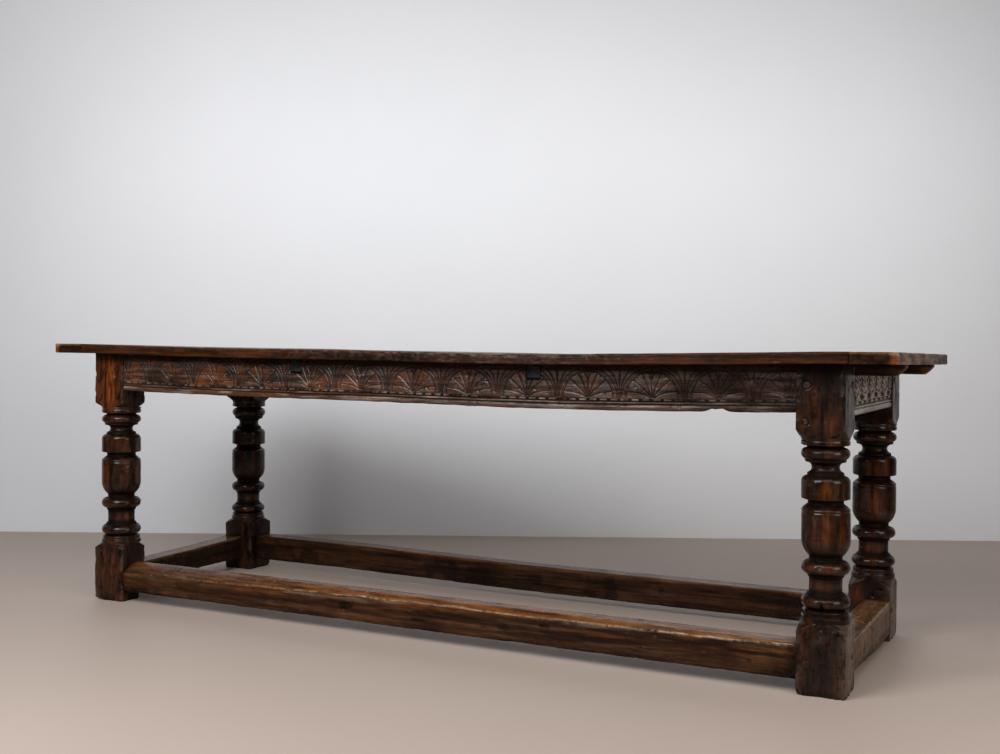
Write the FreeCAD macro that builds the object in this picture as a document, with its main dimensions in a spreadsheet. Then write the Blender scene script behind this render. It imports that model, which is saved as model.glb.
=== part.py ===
import FreeCAD, Part
import os
import re
import Sketcher

# Refectory table of joined oak. X runs along the table, -Y is the front, Z is up.
# The origin is on the floor, under the middle of the top.

doc = FreeCAD.newDocument("RefectoryTable")

# Driving sizes in millimetres: name, value, what it measures
size_rows = [
    ("table_length", 2460, "over the end cleats"),
    ("table_width", 820, "front edge to back edge"),
    ("table_height", 770, "floor to table top"),
    ("top_thickness", 28, "planks and cleats"),
    ("front_plank_width", 272, "front plank"),
    ("back_plank_width", 262, "back plank"),
    ("plank_gap", 0.5, "between neighbouring planks"),
    ("edge_round", 5, "worn rounding of the top's outer edges"),
    ("cleat_width", 106, "end cleats, along the table"),
    ("tongue_length", 42, "plank tongue inside the cleat"),
    ("tongue_thickness", 9, "plank tongue"),
    ("tongue_stop", 26, "solid wood at both ends of the cleat's groove"),
    ("end_overhang", 117, "top beyond the legs' end faces"),
    ("side_overhang", 49, "top beyond the legs' front and back faces"),
    ("leg_block", 110, "square of the leg's top and foot blocks"),
    ("turned_diameter", 109, "beads, bulb and collars of the leg"),
    ("base_step_diameter", 102, "upper step of the base collar"),
    ("quirk_diameter", 84, "fillets on both sides of the lower bead"),
    ("plain_neck_diameter", 74, "neck above the lower bead"),
    ("upper_fillet_diameter", 81, "fillets on both sides of the middle bead"),
    ("bulb_groove_step", 1, "groove under the main bulb, behind the bulb's rounding"),
    ("waist_diameter", 80, "groove over the main bulb"),
    ("cove_ring_step", 0.6, "ring over the cup, behind the cup's rounding"),
    ("cove_diameter", 62, "narrowest part of the leg"),
    ("cove_fillet_diameter", 92, "fillet over the cove"),
    ("collar_groove_diameter", 82, "groove under the top collar"),
    ("foot_block_height", 142, "square foot"),
    ("foot_shoulder_height", 20, "sloped shoulder of the foot"),
    ("base_collar_height", 13, "lower step of the base collar"),
    ("base_step_height", 13, "upper step of the base collar"),
    ("base_groove_height", 4, "groove over the base collar"),
    ("lower_bead_height", 29, "bead over the foot"),
    ("lower_fillet_height", 6, "fillet over the lower bead"),
    ("plain_neck_height", 34, "straight neck"),
    ("upper_fillet_height", 7, "fillet over the neck"),
    ("middle_bead_height", 30, "bead under the bulb"),
    ("bulb_groove_height", 11, "groove under the bulb"),
    ("main_bulb_height", 110, "main bulb"),
    ("main_bulb_foot_round", 16.5, "how far the bulb draws in at its bottom"),
    ("main_bulb_foot_rise", 38, "bowl of the bulb, from its bottom to its straight side"),
    ("main_bulb_head_round", 5, "slope at the top of the bulb"),
    ("bulb_line_drop", 11, "scored line below the top of the bulb"),
    ("scored_line_width", 2.5, "lines scored on the bulb and the top collar"),
    ("scored_line_depth", 1.5, "lines scored on the bulb and the top collar"),
    ("waist_height", 17.5, "groove over the bulb"),
    ("waist_flare_height", 7, "foot of the waist, which spreads to the bulb"),
    ("cup_height", 52.5, "cup over the waist"),
    ("cup_foot_round", 3, "rounding at the bottom of the cup"),
    ("cup_head_round", 13, "rounding at the top of the cup"),
    ("cove_ring_height", 7, "ring over the cup"),
    ("cove_height", 24, "hollow under the upper bead"),
    ("cove_fillet_height", 7, "fillet over the cove"),
    ("upper_bead_height", 25, "bead under the top collar"),
    ("collar_groove_height", 6, "groove under the top collar"),
    ("top_collar_height", 18, "collar under the top block"),
    ("collar_line_rise", 10, "scored line over the bottom of the top collar"),
    ("top_shoulder_height", 18, "sloped shoulder of the top block"),
    ("frieze_height", 110, "frieze rails, below the top"),
    ("frieze_thickness", 28, "frieze rails"),
    ("frieze_setback", 6, "frieze face behind the leg's face"),
    ("frieze_tenon_thickness", 10, "frieze tenons"),
    ("frieze_tenon_length", 60, "frieze tenons"),
    ("frieze_tenon_shoulder", 14, "wood above and below the frieze tenons"),
    ("moulding_height", 24, "run moulding along the bottom of a frieze"),
    ("quirk_width", 3, "grooves that bound the moulding"),
    ("quirk_depth", 3, "grooves that bound the moulding"),
    ("bottom_bead", 13.5, "lowest bead of the moulding"),
    ("stretcher_height", 80, "long stretchers"),
    ("stretcher_width", 72, "long stretchers"),
    ("stretcher_clearance", 33, "floor to the long stretchers"),
    ("stretcher_setback", 3, "stretcher face behind the leg's face"),
    ("stretcher_tenon_thickness", 24, "long stretcher tenons"),
    ("end_stretcher_height", 84, "end stretchers"),
    ("end_stretcher_width", 64, "end stretchers"),
    ("end_stretcher_clearance", 25, "floor to the end stretchers"),
    ("end_stretcher_setback", 5, "end stretcher face behind the leg's face"),
    ("end_stretcher_tenon_thickness", 20, "end stretcher tenons"),
    ("stretcher_tenon_length", 50, "all stretcher tenons"),
    ("stretcher_tenon_shoulder", 10, "wood above and below the stretcher tenons"),
    ("cross_bearer_width", 36, "bearers across the frame"),
    ("cross_bearer_depth", 38, "bearers across the frame, below the top"),
    ("end_bearer_width", 44, "bearers under the overhangs"),
    ("end_bearer_depth", 26, "bearers under the overhangs, below the top"),
    ("end_bearer_clearance", 7, "between an end bearer and the legs beside it"),
    ("end_bearer_reach", 105, "beyond the legs' end faces"),
    ("end_bearer_inside", 250, "behind the legs' end faces"),
    ("end_bearer_nose", 14, "rounding of the bearer's nose"),
    ("joint_peg_diameter", 16, "pegs of the frieze and stretcher joints"),
    ("joint_peg_inset", 25, "peg axis from the leg's inner face"),
    ("joint_peg_proud", 2, "peg beyond the leg's face"),
    ("frieze_peg_depth", 44, "frieze pegs inside the leg"),
    ("frieze_peg_drop", 48, "peg axis below the top"),
    ("stretcher_peg_depth", 66, "stretcher pegs inside the leg"),
    ("stretcher_peg_height", 71, "long stretcher peg axis above the floor"),
    ("end_stretcher_peg_height", 81, "end stretcher peg axis above the floor"),
    ("plug_diameter", 14, "plugs of the old peg holes"),
    ("plug_depth", 30, "plug inside the leg"),
    ("plug_inset", 21, "plug axis from the leg's inner face"),
    ("plug_drop", 130, "plug axis below the top"),
    ("cleat_peg_diameter", 10, "pegs through cleat and tongue"),
    ("cleat_peg_inset", 20, "cleat peg axis from the seam"),
    ("top_peg_diameter", 12, "pegs through planks into the frame"),
    ("top_peg_bite", 26, "top pegs inside the frame"),
    ("nail_diameter", 5, "nails of the end bearers"),
    ("nail_head_diameter", 13, "nail heads"),
    ("nail_head_height", 4, "nail heads"),
    ("nail_bite", 16, "nail inside the plank"),
    ("nail_inset", 40, "nail axis from the bearer's hidden end"),
    ("nail_spacing", 150, "nail to nail along a bearer"),
    ("fit_gap", 0.2, "clearance on each side of a tenon, tongue or peg"),
    ("cut_overrun", 10, "how far cuts run past the wood"),
]

sheet = doc.addObject("Spreadsheet::Sheet", "Sizes")
for row, (alias, value, note) in enumerate(size_rows, start=1):
    sheet.set("A%d" % row, alias)
    sheet.set("B%d" % row, str(value))
    sheet.setAlias("B%d" % row, alias)
    sheet.set("C%d" % row, note)
doc.recompute()
aliases = {alias for alias, value, note in size_rows}

# Places along the table and across a plank, as shares of the size they follow
cross_bearer_shares = (-0.377, 0.346)
frieze_top_peg_shares = (-0.8, -0.27, 0.27, 0.8)
cleat_peg_shares = (-0.28, 0.28)


def sized(text):
    # An expression in plain size names, written for the sheet.
    return re.sub(r"[a-z_]+", lambda found: "Sizes." + found[0] if found[0] in aliases else found[0], text)


def number(text):
    return float(sheet.evalExpression(sized(text)))


def bind(item, path, text):
    item.setExpression(path, sized(text))


# Levels and faces that several pieces share
underside = "(table_height - top_thickness)"
frieze_low = f"({underside} - frieze_height)"
half_block = "(leg_block / 2)"
end_face = "(table_length / 2 - end_overhang)"
side_face = "(table_width / 2 - side_overhang)"
leg_x = f"({end_face} - {half_block})"
leg_y = f"({side_face} - {half_block})"
inner_x = f"({leg_x} - {half_block})"
inner_y = f"({leg_y} - {half_block})"
frieze_middle = "(frieze_setback + frieze_thickness / 2)"
stretcher_middle = "(stretcher_setback + stretcher_width / 2)"
end_stretcher_middle = "(end_stretcher_setback + end_stretcher_width / 2)"
frieze_peg_level = f"({underside} - frieze_peg_drop)"
plug_level = f"({underside} - plug_drop)"
seam_x = "(table_length / 2 - cleat_width)"
tongue_low = f"({underside} + top_thickness / 2 - tongue_thickness / 2)"
tongue_high = f"({underside} + top_thickness / 2 + tongue_thickness / 2)"
front_seam = "(-table_width / 2 + front_plank_width)"
back_seam = "(table_width / 2 - back_plank_width)"
cross_bearer_places = tuple(f"({share} * {inner_x})" for share in cross_bearer_shares)
end_bearer_middle = f"({inner_y} - end_bearer_clearance - end_bearer_width / 2)"


def sketch_on(body, name, role, offset=None):
    # A sketch on one of the body's own planes, moved along its normal.
    plane = next(feature for feature in body.Origin.OriginFeatures if feature.Role == role)
    sketch = body.newObject("Sketcher::SketchObject", name)
    sketch.AttachmentSupport = [(plane, "")]
    sketch.MapMode = "FlatFace"
    if offset:
        bind(sketch, "AttachmentOffset.Base.z", offset)
    return sketch


def measure(sketch, geometry, end, place):
    # Holds one point of a sketch at a place given by two expressions.
    for kind, text in zip(("DistanceX", "DistanceY"), place):
        if text is not None:
            index = sketch.addConstraint(Sketcher.Constraint(kind, -1, 1, geometry, end, number(text)))
            bind(sketch, "Constraints[%d]" % index, text)


def vector(place):
    return FreeCAD.Vector(number(place[0]), number(place[1]), 0)


def arc(start, stop, centre, hollow=False):
    # An arc of an outline. centre gives one coordinate of its middle and None for the other.
    return {"start": start, "stop": stop, "centre": centre, "hollow": hollow}


def draw_arc(sketch, item):
    start = vector(item["start"])
    stop = vector(item["stop"])
    middle = (start + stop) / 2
    chord = stop - start
    x_text, y_text = item["centre"]
    if x_text is not None:
        x = number(x_text)
        y = middle.y - (x - middle.x) * chord.x / chord.y
    else:
        y = number(y_text)
        x = middle.x - (y - middle.y) * chord.y / chord.x
    centre = FreeCAD.Vector(x, y, 0)
    ends = (stop, start) if item["hollow"] else (start, stop)
    circle = Part.Circle(centre, FreeCAD.Vector(0, 0, 1), (start - centre).Length)
    first, last = (circle.parameter(end) for end in ends)
    geometry = sketch.addGeometry(Part.ArcOfCircle(circle, first, last))
    start_end, stop_end = (2, 1) if item["hollow"] else (1, 2)
    measure(sketch, geometry, start_end, item["start"])
    measure(sketch, geometry, stop_end, item["stop"])
    measure(sketch, geometry, 3, item["centre"])
    return (geometry, start_end), (geometry, stop_end)


def outline(sketch, items):
    # A closed outline of points, which are pairs of expressions, and arcs.
    entries = {}
    exits = {}
    for index, item in enumerate(items):
        if isinstance(item, dict):
            entries[index], exits[index] = draw_arc(sketch, item)
    for index, item in enumerate(items):
        following = (index + 1) % len(items)
        start = item["stop"] if isinstance(item, dict) else item
        stop = items[following]
        stop = stop["start"] if isinstance(stop, dict) else stop
        line = sketch.addGeometry(Part.LineSegment(vector(start), vector(stop)))
        for place, end, held, text in ((index, 1, exits, start), (following, 2, entries, stop)):
            known = held.get(place) or entries.get(place)
            if known:
                sketch.addConstraint(Sketcher.Constraint("Coincident", line, end, *known))
            else:
                entries[place] = (line, end)
                measure(sketch, line, end, text)


def rectangle(sketch, left, right, low, high):
    outline(sketch, [(left, low), (right, low), (right, high), (left, high)])


def round_hole(sketch, x, y, diameter):
    radius = number(diameter) / 2
    geometry = sketch.addGeometry(Part.Circle(vector((x, y)), FreeCAD.Vector(0, 0, 1), radius))
    measure(sketch, geometry, 3, (x, y))
    index = sketch.addConstraint(Sketcher.Constraint("Diameter", geometry, 2 * radius))
    bind(sketch, "Constraints[%d]" % index, diameter)


def pad(body, sketch, length):
    # Wood that reaches half the length to each side of its sketch.
    feature = body.newObject("PartDesign::Pad", sketch.Name + "_pad")
    feature.Profile = sketch
    feature.SideType = "Symmetric"
    bind(feature, "Length", length)
    doc.recompute()


def cut(body, sketch, depth=None, into=False):
    # A pocket of the given depth, or right through. into turns it to the normal's side.
    before = body.Shape.Volume
    feature = body.newObject("PartDesign::Pocket", sketch.Name + "_cut")
    feature.Profile = sketch
    feature.Reversed = into
    if depth:
        bind(feature, "Length", depth)
    else:
        feature.Type = "ThroughAll"
        feature.SideType = "Symmetric"
    doc.recompute()
    if not body.Shape.Volume < before:
        raise RuntimeError("no wood cut by " + feature.Name)


def new_body(label):
    body = doc.addObject("PartDesign::Body", label)
    body.Label = label
    return body


def mirrored(source, label, normal):
    # The piece's twin on the other side of the table's middle plane.
    twin = doc.addObject("Part::Mirroring", label)
    twin.Label = label
    twin.Source = source
    twin.Normal = FreeCAD.Vector(*normal)
    return twin


across_length = (1, 0, 0)
across_width = (0, 1, 0)


def peg(name, direction, place, diameter, length):
    # A round peg that starts at place and runs along X, Y or Z.
    turns = {
        "X": FreeCAD.Rotation(FreeCAD.Vector(0, 1, 0), 90),
        "Y": FreeCAD.Rotation(FreeCAD.Vector(1, 0, 0), -90),
        "Z": FreeCAD.Rotation(),
    }
    rod = doc.addObject("Part::Cylinder", name)
    rod.Placement = FreeCAD.Placement(FreeCAD.Vector(), turns[direction])
    bind(rod, "Radius", f"({diameter}) / 2")
    bind(rod, "Height", length)
    for axis, text in zip("xyz", place):
        bind(rod, "Placement.Base." + axis, text)
    return rod


def group(label, pieces):
    bundle = doc.addObject("Part::Compound", label)
    bundle.Label = label
    bundle.Links = pieces
    return bundle


# Turned legs: a square billet, turned between its two blocks
turned_parts = (
    "foot_block", "foot_shoulder", "base_collar", "base_step", "base_groove", "lower_bead", "lower_fillet",
    "plain_neck", "upper_fillet", "middle_bead", "bulb_groove", "main_bulb", "waist", "cup", "cove_ring",
    "cove", "cove_fillet", "upper_bead", "collar_groove", "top_collar", "top_shoulder",
)
head = {}
level = "0"
for turned_part in turned_parts:
    level = f"{level} + {turned_part}_height"
    head[turned_part] = f"({level})"


def radius_of(name):
    return f"({name}_diameter / 2)"


def bead(edge, crest, low, high):
    # Half-round bead between two levels. Its edges lie at one radius and its crest at another.
    swell = f"({crest} - {edge})"
    bow = f"((({high} - {low}) / 2)^2 / {swell} + {swell}) / 2"
    return arc((edge, low), (edge, high), (f"{crest} - {bow}", None))


def hollow(edge, bottom, low, high):
    # Half-round hollow between two levels.
    sink = f"({edge} - {bottom})"
    bow = f"((({high} - {low}) / 2)^2 / {sink} + {sink}) / 2"
    return arc((edge, low), (edge, high), (f"{bottom} + {bow}", None), hollow=True)


def scored_line(edge, low):
    # Narrow groove round a bulb or collar.
    bottom = f"({edge} - scored_line_depth)"
    high = f"{low} + scored_line_width"
    return [(edge, low), (bottom, low), (bottom, high), (edge, high)]


def leg_profile():
    # What the lathe takes away, from the foot's shoulder up to the top block's shoulder.
    crest = radius_of("turned")
    corner = "(leg_block * sqrt(2) / 2)"
    clear = f"({corner} + cut_overrun)"
    step = radius_of("base_step")
    quirk = radius_of("quirk")
    neck = radius_of("plain_neck")
    fillet = radius_of("upper_fillet")
    groove = f"({crest} - main_bulb_foot_round - bulb_groove_step)"
    waist = radius_of("waist")
    ring = f"({crest} - cup_head_round - cove_ring_step)"
    cove_fillet = radius_of("cove_fillet")
    collar_groove = radius_of("collar_groove")
    items = [
        (clear, head["foot_block"]),
        (corner, head["foot_block"]),
        (crest, head["foot_shoulder"]),
        (crest, head["base_collar"]),
        (step, head["base_collar"]),
        (step, head["base_step"]),
        (quirk, head["base_step"]),
        bead(quirk, crest, head["base_groove"], head["lower_bead"]),
        (quirk, head["lower_fillet"]),
        (neck, head["lower_fillet"]),
        (neck, head["plain_neck"]),
        (fillet, head["plain_neck"]),
        bead(fillet, crest, head["upper_fillet"], head["middle_bead"]),
        (groove, head["middle_bead"]),
        (groove, head["bulb_groove"]),
    ]
    bowl_head = f"{head['bulb_groove']} + main_bulb_foot_rise"
    bulb_foot = f"{crest} - main_bulb_foot_round"
    items.append(arc((bulb_foot, head["bulb_groove"]), (crest, bowl_head), (None, bowl_head)))
    items += scored_line(crest, f"{head['main_bulb']} - bulb_line_drop")
    items += [
        (crest, f"{head['main_bulb']} - main_bulb_head_round"),
        (f"{crest} - main_bulb_head_round", head["main_bulb"]),
        (waist, f"{head['main_bulb']} + waist_flare_height"),
        (waist, head["waist"]),
    ]
    cup_foot = f"{crest} - cup_foot_round"
    cup_head = f"{crest} - cup_head_round"
    items += [
        arc((cup_foot, head["waist"]), (crest, f"{head['waist']} + cup_foot_round"), (cup_foot, None)),
        arc((crest, f"{head['cup']} - cup_head_round"), (cup_head, head["cup"]), (cup_head, None)),
        (ring, head["cup"]),
        hollow(ring, radius_of("cove"), head["cove_ring"], head["cove"]),
        (cove_fillet, head["cove"]),
        bead(cove_fillet, crest, head["cove_fillet"], head["upper_bead"]),
        (collar_groove, head["upper_bead"]),
        (collar_groove, head["collar_groove"]),
        (crest, head["collar_groove"]),
    ]
    items += scored_line(crest, f"{head['collar_groove']} + collar_line_rise")
    items += [
        (crest, head["top_collar"]),
        (corner, head["top_shoulder"]),
        (clear, head["top_shoulder"]),
    ]
    return items


def mortise_spans(middle, thickness, low, high, shoulder):
    # Thickness and height of a mortise. middle is measured from the leg's outer face.
    return (
        f"{half_block} - {middle} - {thickness} / 2 - fit_gap",
        f"{half_block} - {middle} + {thickness} / 2 + fit_gap",
        f"{low} + {shoulder} - fit_gap",
        f"{high} - {shoulder} + fit_gap",
    )


def front_right_leg():
    # The leg stands on its own axis: its inner faces look to -X and +Y.
    body = new_body("front_right_leg")
    billet = sketch_on(body, "billet", "XY_Plane", f"{underside} / 2")
    rectangle(billet, f"-{half_block}", half_block, f"-{half_block}", half_block)
    pad(body, billet, underside)

    turning = sketch_on(body, "turning", "XZ_Plane")
    outline(turning, leg_profile())
    before = body.Shape.Volume
    groove = body.newObject("PartDesign::Groove", "lathe_cut")
    groove.Profile = turning
    groove.ReferenceAxis = (turning, ["V_Axis"])
    groove.Angle = 360
    doc.recompute()
    if not body.Shape.Volume < before:
        raise RuntimeError("the leg wasn't turned")

    stretcher_high = "stretcher_clearance + stretcher_height"
    end_stretcher_high = "end_stretcher_clearance + end_stretcher_height"
    frieze_spans = mortise_spans(
        frieze_middle, "frieze_tenon_thickness", frieze_low, underside, "frieze_tenon_shoulder")
    long_spans = mortise_spans(
        stretcher_middle, "stretcher_tenon_thickness", "stretcher_clearance", stretcher_high,
        "stretcher_tenon_shoulder")
    end_spans = mortise_spans(
        end_stretcher_middle, "end_stretcher_tenon_thickness", "end_stretcher_clearance", end_stretcher_high,
        "stretcher_tenon_shoulder")

    for name, spans, length in (
        ("front_frieze_mortise", frieze_spans, "frieze_tenon_length"),
        ("front_stretcher_mortise", long_spans, "stretcher_tenon_length"),
    ):
        near, far, low, high = spans
        mortise = sketch_on(body, name, "YZ_Plane", f"-{half_block}")
        rectangle(mortise, f"-({far})", f"-({near})", low, high)
        cut(body, mortise, f"{length} + fit_gap", into=True)
    for name, spans, length in (
        ("end_frieze_mortise", frieze_spans, "frieze_tenon_length"),
        ("end_stretcher_mortise", end_spans, "stretcher_tenon_length"),
    ):
        near, far, low, high = spans
        mortise = sketch_on(body, name, "XZ_Plane", f"-{half_block}")
        rectangle(mortise, near, far, low, high)
        cut(body, mortise, f"{length} + fit_gap", into=True)

    inset = f"({half_block} - joint_peg_inset)"
    plug_inset = f"({half_block} - plug_inset)"
    for name, plane, across, level_text, diameter, depth in (
        ("front_frieze_peg_hole", "XZ_Plane", f"-{inset}", frieze_peg_level, "joint_peg_diameter",
         "frieze_peg_depth"),
        ("front_stretcher_peg_hole", "XZ_Plane", f"-{inset}", "stretcher_peg_height", "joint_peg_diameter",
         "stretcher_peg_depth"),
        ("front_plug_hole", "XZ_Plane", f"-{plug_inset}", plug_level, "plug_diameter", "plug_depth"),
        ("end_frieze_peg_hole", "YZ_Plane", inset, frieze_peg_level, "joint_peg_diameter",
         "frieze_peg_depth"),
        ("end_stretcher_peg_hole", "YZ_Plane", inset, "end_stretcher_peg_height", "joint_peg_diameter",
         "stretcher_peg_depth"),
    ):
        hole = sketch_on(body, name, plane, half_block)
        round_hole(hole, across, level_text, f"{diameter} + 2 * fit_gap")
        cut(body, hole, f"{depth} + fit_gap")
    bind(body, "Placement.Base.x", leg_x)
    bind(body, "Placement.Base.y", f"-{leg_y}")
    return body


leg_front_right = front_right_leg()
leg_front_left = mirrored(leg_front_right, "front_left_leg", across_length)
leg_back_right = mirrored(leg_front_right, "back_right_leg", across_width)
leg_back_left = mirrored(leg_front_left, "back_left_leg", across_width)


def quirks(body, plane, face, wood, name):
    # Two grooves along a frieze's face, above and below the upper bead of its moulding.
    for part, low in (
        ("lower", f"{frieze_low} + bottom_bead"),
        ("upper", f"{frieze_low} + moulding_height - quirk_width"),
    ):
        groove = sketch_on(body, f"{name}_{part}_quirk", plane)
        near = f"{face} - ({wood}) * cut_overrun"
        deep = f"{face} + ({wood}) * quirk_depth"
        left, right = (near, deep) if wood > 0 else (deep, near)
        rectangle(groove, left, right, low, f"{low} + quirk_width")
        cut(body, groove)


def front_frieze():
    body = new_body("front_frieze")
    face = f"(-{side_face} + frieze_setback)"
    middle = f"(-{side_face} + {frieze_middle})"
    board = sketch_on(body, "front_frieze_board", "YZ_Plane")
    rectangle(board, face, f"{face} + frieze_thickness", frieze_low, underside)
    pad(body, board, f"2 * {inner_x}")
    tenons = sketch_on(body, "front_frieze_tenons", "YZ_Plane")
    rectangle(
        tenons, f"{middle} - frieze_tenon_thickness / 2", f"{middle} + frieze_tenon_thickness / 2",
        f"{frieze_low} + frieze_tenon_shoulder", f"{underside} - frieze_tenon_shoulder")
    pad(body, tenons, f"2 * ({inner_x} + frieze_tenon_length)")
    quirks(body, "YZ_Plane", face, 1, "front_frieze")

    notches = sketch_on(body, "front_frieze_notches", "XZ_Plane")
    for place in cross_bearer_places:
        half = "(cross_bearer_width / 2 + fit_gap)"
        rectangle(
            notches, f"{place} - {half}", f"{place} + {half}",
            f"{underside} - cross_bearer_depth", f"{underside} + cut_overrun")
    cut(body, notches)
    peg_holes = sketch_on(body, "front_frieze_peg_holes", "XZ_Plane")
    for side in ("-1", "1"):
        round_hole(peg_holes, f"{side} * ({inner_x} + joint_peg_inset)", frieze_peg_level,
                   "joint_peg_diameter + 2 * fit_gap")
    cut(body, peg_holes)
    top_holes = sketch_on(body, "front_frieze_top_holes", "XY_Plane", underside)
    for share in frieze_top_peg_shares:
        round_hole(top_holes, f"{share} * {inner_x}", middle, "top_peg_diameter + 2 * fit_gap")
    cut(body, top_holes, "top_peg_bite + fit_gap")
    return body


def right_end_frieze():
    body = new_body("right_end_frieze")
    face = f"({end_face} - frieze_setback)"
    middle = f"({end_face} - {frieze_middle})"
    board = sketch_on(body, "end_frieze_board", "XZ_Plane")
    rectangle(board, f"{face} - frieze_thickness", face, frieze_low, underside)
    pad(body, board, f"2 * {inner_y}")
    tenons = sketch_on(body, "end_frieze_tenons", "XZ_Plane")
    rectangle(
        tenons, f"{middle} - frieze_tenon_thickness / 2", f"{middle} + frieze_tenon_thickness / 2",
        f"{frieze_low} + frieze_tenon_shoulder", f"{underside} - frieze_tenon_shoulder")
    pad(body, tenons, f"2 * ({inner_y} + frieze_tenon_length)")
    quirks(body, "XZ_Plane", face, -1, "end_frieze")

    notches = sketch_on(body, "end_frieze_notches", "YZ_Plane")
    for side in ("-1", "1"):
        place = f"({side} * {end_bearer_middle})"
        half = "(end_bearer_width / 2 + fit_gap)"
        rectangle(
            notches, f"{place} - {half}", f"{place} + {half}",
            f"{underside} - end_bearer_depth", f"{underside} + cut_overrun")
    cut(body, notches)
    peg_holes = sketch_on(body, "end_frieze_peg_holes", "YZ_Plane")
    for side in ("-1", "1"):
        round_hole(peg_holes, f"{side} * ({inner_y} + joint_peg_inset)", frieze_peg_level,
                   "joint_peg_diameter + 2 * fit_gap")
    cut(body, peg_holes)
    top_hole = sketch_on(body, "end_frieze_top_hole", "XY_Plane", underside)
    round_hole(top_hole, middle, "0", "top_peg_diameter + 2 * fit_gap")
    cut(body, top_hole, "top_peg_bite + fit_gap")
    return body


frieze_front = front_frieze()
frieze_back = mirrored(frieze_front, "back_frieze", across_width)
frieze_right = right_end_frieze()
frieze_left = mirrored(frieze_right, "left_end_frieze", across_length)


def stretcher(label, plane, peg_plane, middle, sizes, span, peg_level):
    # A stretcher with a tenon at each end. sizes: width, height, floor clearance, tenon thickness.
    width, height, clearance, tenon = sizes
    body = new_body(label)
    rail = sketch_on(body, label + "_rail", plane)
    rectangle(
        rail, f"{middle} - {width} / 2", f"{middle} + {width} / 2", clearance, f"{clearance} + {height}")
    pad(body, rail, f"2 * {span}")
    tenons = sketch_on(body, label + "_tenons", plane)
    rectangle(
        tenons, f"{middle} - {tenon} / 2", f"{middle} + {tenon} / 2",
        f"{clearance} + stretcher_tenon_shoulder", f"{clearance} + {height} - stretcher_tenon_shoulder")
    pad(body, tenons, f"2 * ({span} + stretcher_tenon_length)")
    peg_holes = sketch_on(body, label + "_peg_holes", peg_plane)
    for side in ("-1", "1"):
        place = f"{side} * ({span} + joint_peg_inset)"
        round_hole(peg_holes, place, peg_level, "joint_peg_diameter + 2 * fit_gap")
    cut(body, peg_holes)
    return body


stretcher_front = stretcher(
    "front_stretcher", "YZ_Plane", "XZ_Plane", f"(-{side_face} + {stretcher_middle})",
    ("stretcher_width", "stretcher_height", "stretcher_clearance", "stretcher_tenon_thickness"),
    inner_x, "stretcher_peg_height")
stretcher_back = mirrored(stretcher_front, "back_stretcher", across_width)
stretcher_right = stretcher(
    "right_end_stretcher", "XZ_Plane", "YZ_Plane", f"({end_face} - {end_stretcher_middle})",
    ("end_stretcher_width", "end_stretcher_height", "end_stretcher_clearance",
     "end_stretcher_tenon_thickness"),
    inner_y, "end_stretcher_peg_height")
stretcher_left = mirrored(stretcher_right, "left_end_stretcher", across_length)

# Bearers under the top
cross_bearers = []
for label, place in zip(("left_cross_bearer", "right_cross_bearer"), cross_bearer_places):
    bearer = new_body(label)
    section = sketch_on(bearer, label + "_section", "XZ_Plane")
    rectangle(
        section, f"{place} - cross_bearer_width / 2", f"{place} + cross_bearer_width / 2",
        f"{underside} - cross_bearer_depth", underside)
    pad(bearer, section, f"2 * ({side_face} - frieze_setback)")
    peg_hole = sketch_on(bearer, label + "_peg_hole", "XY_Plane", underside)
    round_hole(peg_hole, place, "0", "top_peg_diameter + 2 * fit_gap")
    cut(bearer, peg_hole, "top_peg_bite + fit_gap")
    cross_bearers.append(bearer)

bearer_back_end = f"({end_face} - end_bearer_inside)"
nail_places = (f"({bearer_back_end} + nail_inset)", f"({bearer_back_end} + nail_inset + nail_spacing)")


def front_right_end_bearer():
    body = new_body("front_right_end_bearer")
    low = f"({underside} - end_bearer_depth)"
    nose = f"({end_face} + end_bearer_reach)"
    nose_start = f"{nose} - end_bearer_nose"
    side = sketch_on(body, "end_bearer_side", "XZ_Plane", end_bearer_middle)
    outline(side, [
        (bearer_back_end, low),
        arc((nose_start, low), (nose, f"{low} + end_bearer_nose"), (nose_start, None)),
        (nose, underside),
        (bearer_back_end, underside),
    ])
    pad(body, side, "end_bearer_width")
    nail_holes = sketch_on(body, "end_bearer_nail_holes", "XY_Plane")
    for place in nail_places:
        round_hole(nail_holes, place, f"-{end_bearer_middle}", "nail_diameter + 2 * fit_gap")
    cut(body, nail_holes)
    return body


bearer_front_right = front_right_end_bearer()
bearer_front_left = mirrored(bearer_front_right, "front_left_end_bearer", across_length)
bearer_back_right = mirrored(bearer_front_right, "back_right_end_bearer", across_width)
bearer_back_left = mirrored(bearer_front_left, "back_left_end_bearer", across_width)

# Planks and cleats of the top. Spans run from the front of the table to its back.
plank_spans = {
    "front": ("(-table_width / 2)", front_seam),
    "middle": (f"({front_seam} + plank_gap)", f"({back_seam} - plank_gap)"),
    "back": (back_seam, "(table_width / 2)"),
}
tongue_spans = dict(plank_spans)
tongue_spans["front"] = ("(-table_width / 2 + tongue_stop)", front_seam)
tongue_spans["back"] = (back_seam, "(table_width / 2 - tongue_stop)")
frieze_line = f"({side_face} - {frieze_middle})"
end_frieze_line = f"({end_face} - {frieze_middle})"
top_peg_places = {
    "front": [(f"{share} * {inner_x}", f"-{frieze_line}") for share in frieze_top_peg_shares],
    "middle": [(place, "0") for place in (*cross_bearer_places, end_frieze_line, f"-{end_frieze_line}")],
    "back": [(f"{share} * {inner_x}", frieze_line) for share in frieze_top_peg_shares],
}


def peg_line(part, share):
    # Distance of a cleat peg from the table's middle, on one of the tongues.
    near, far = tongue_spans[part]
    return f"(({near} + {far}) / 2 + {share} * ({far} - {near}))"


cleat_peg_lines = {part: [peg_line(part, share) for share in cleat_peg_shares] for part in plank_spans}
cleat_peg_x = f"({seam_x} + cleat_peg_inset)"


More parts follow.
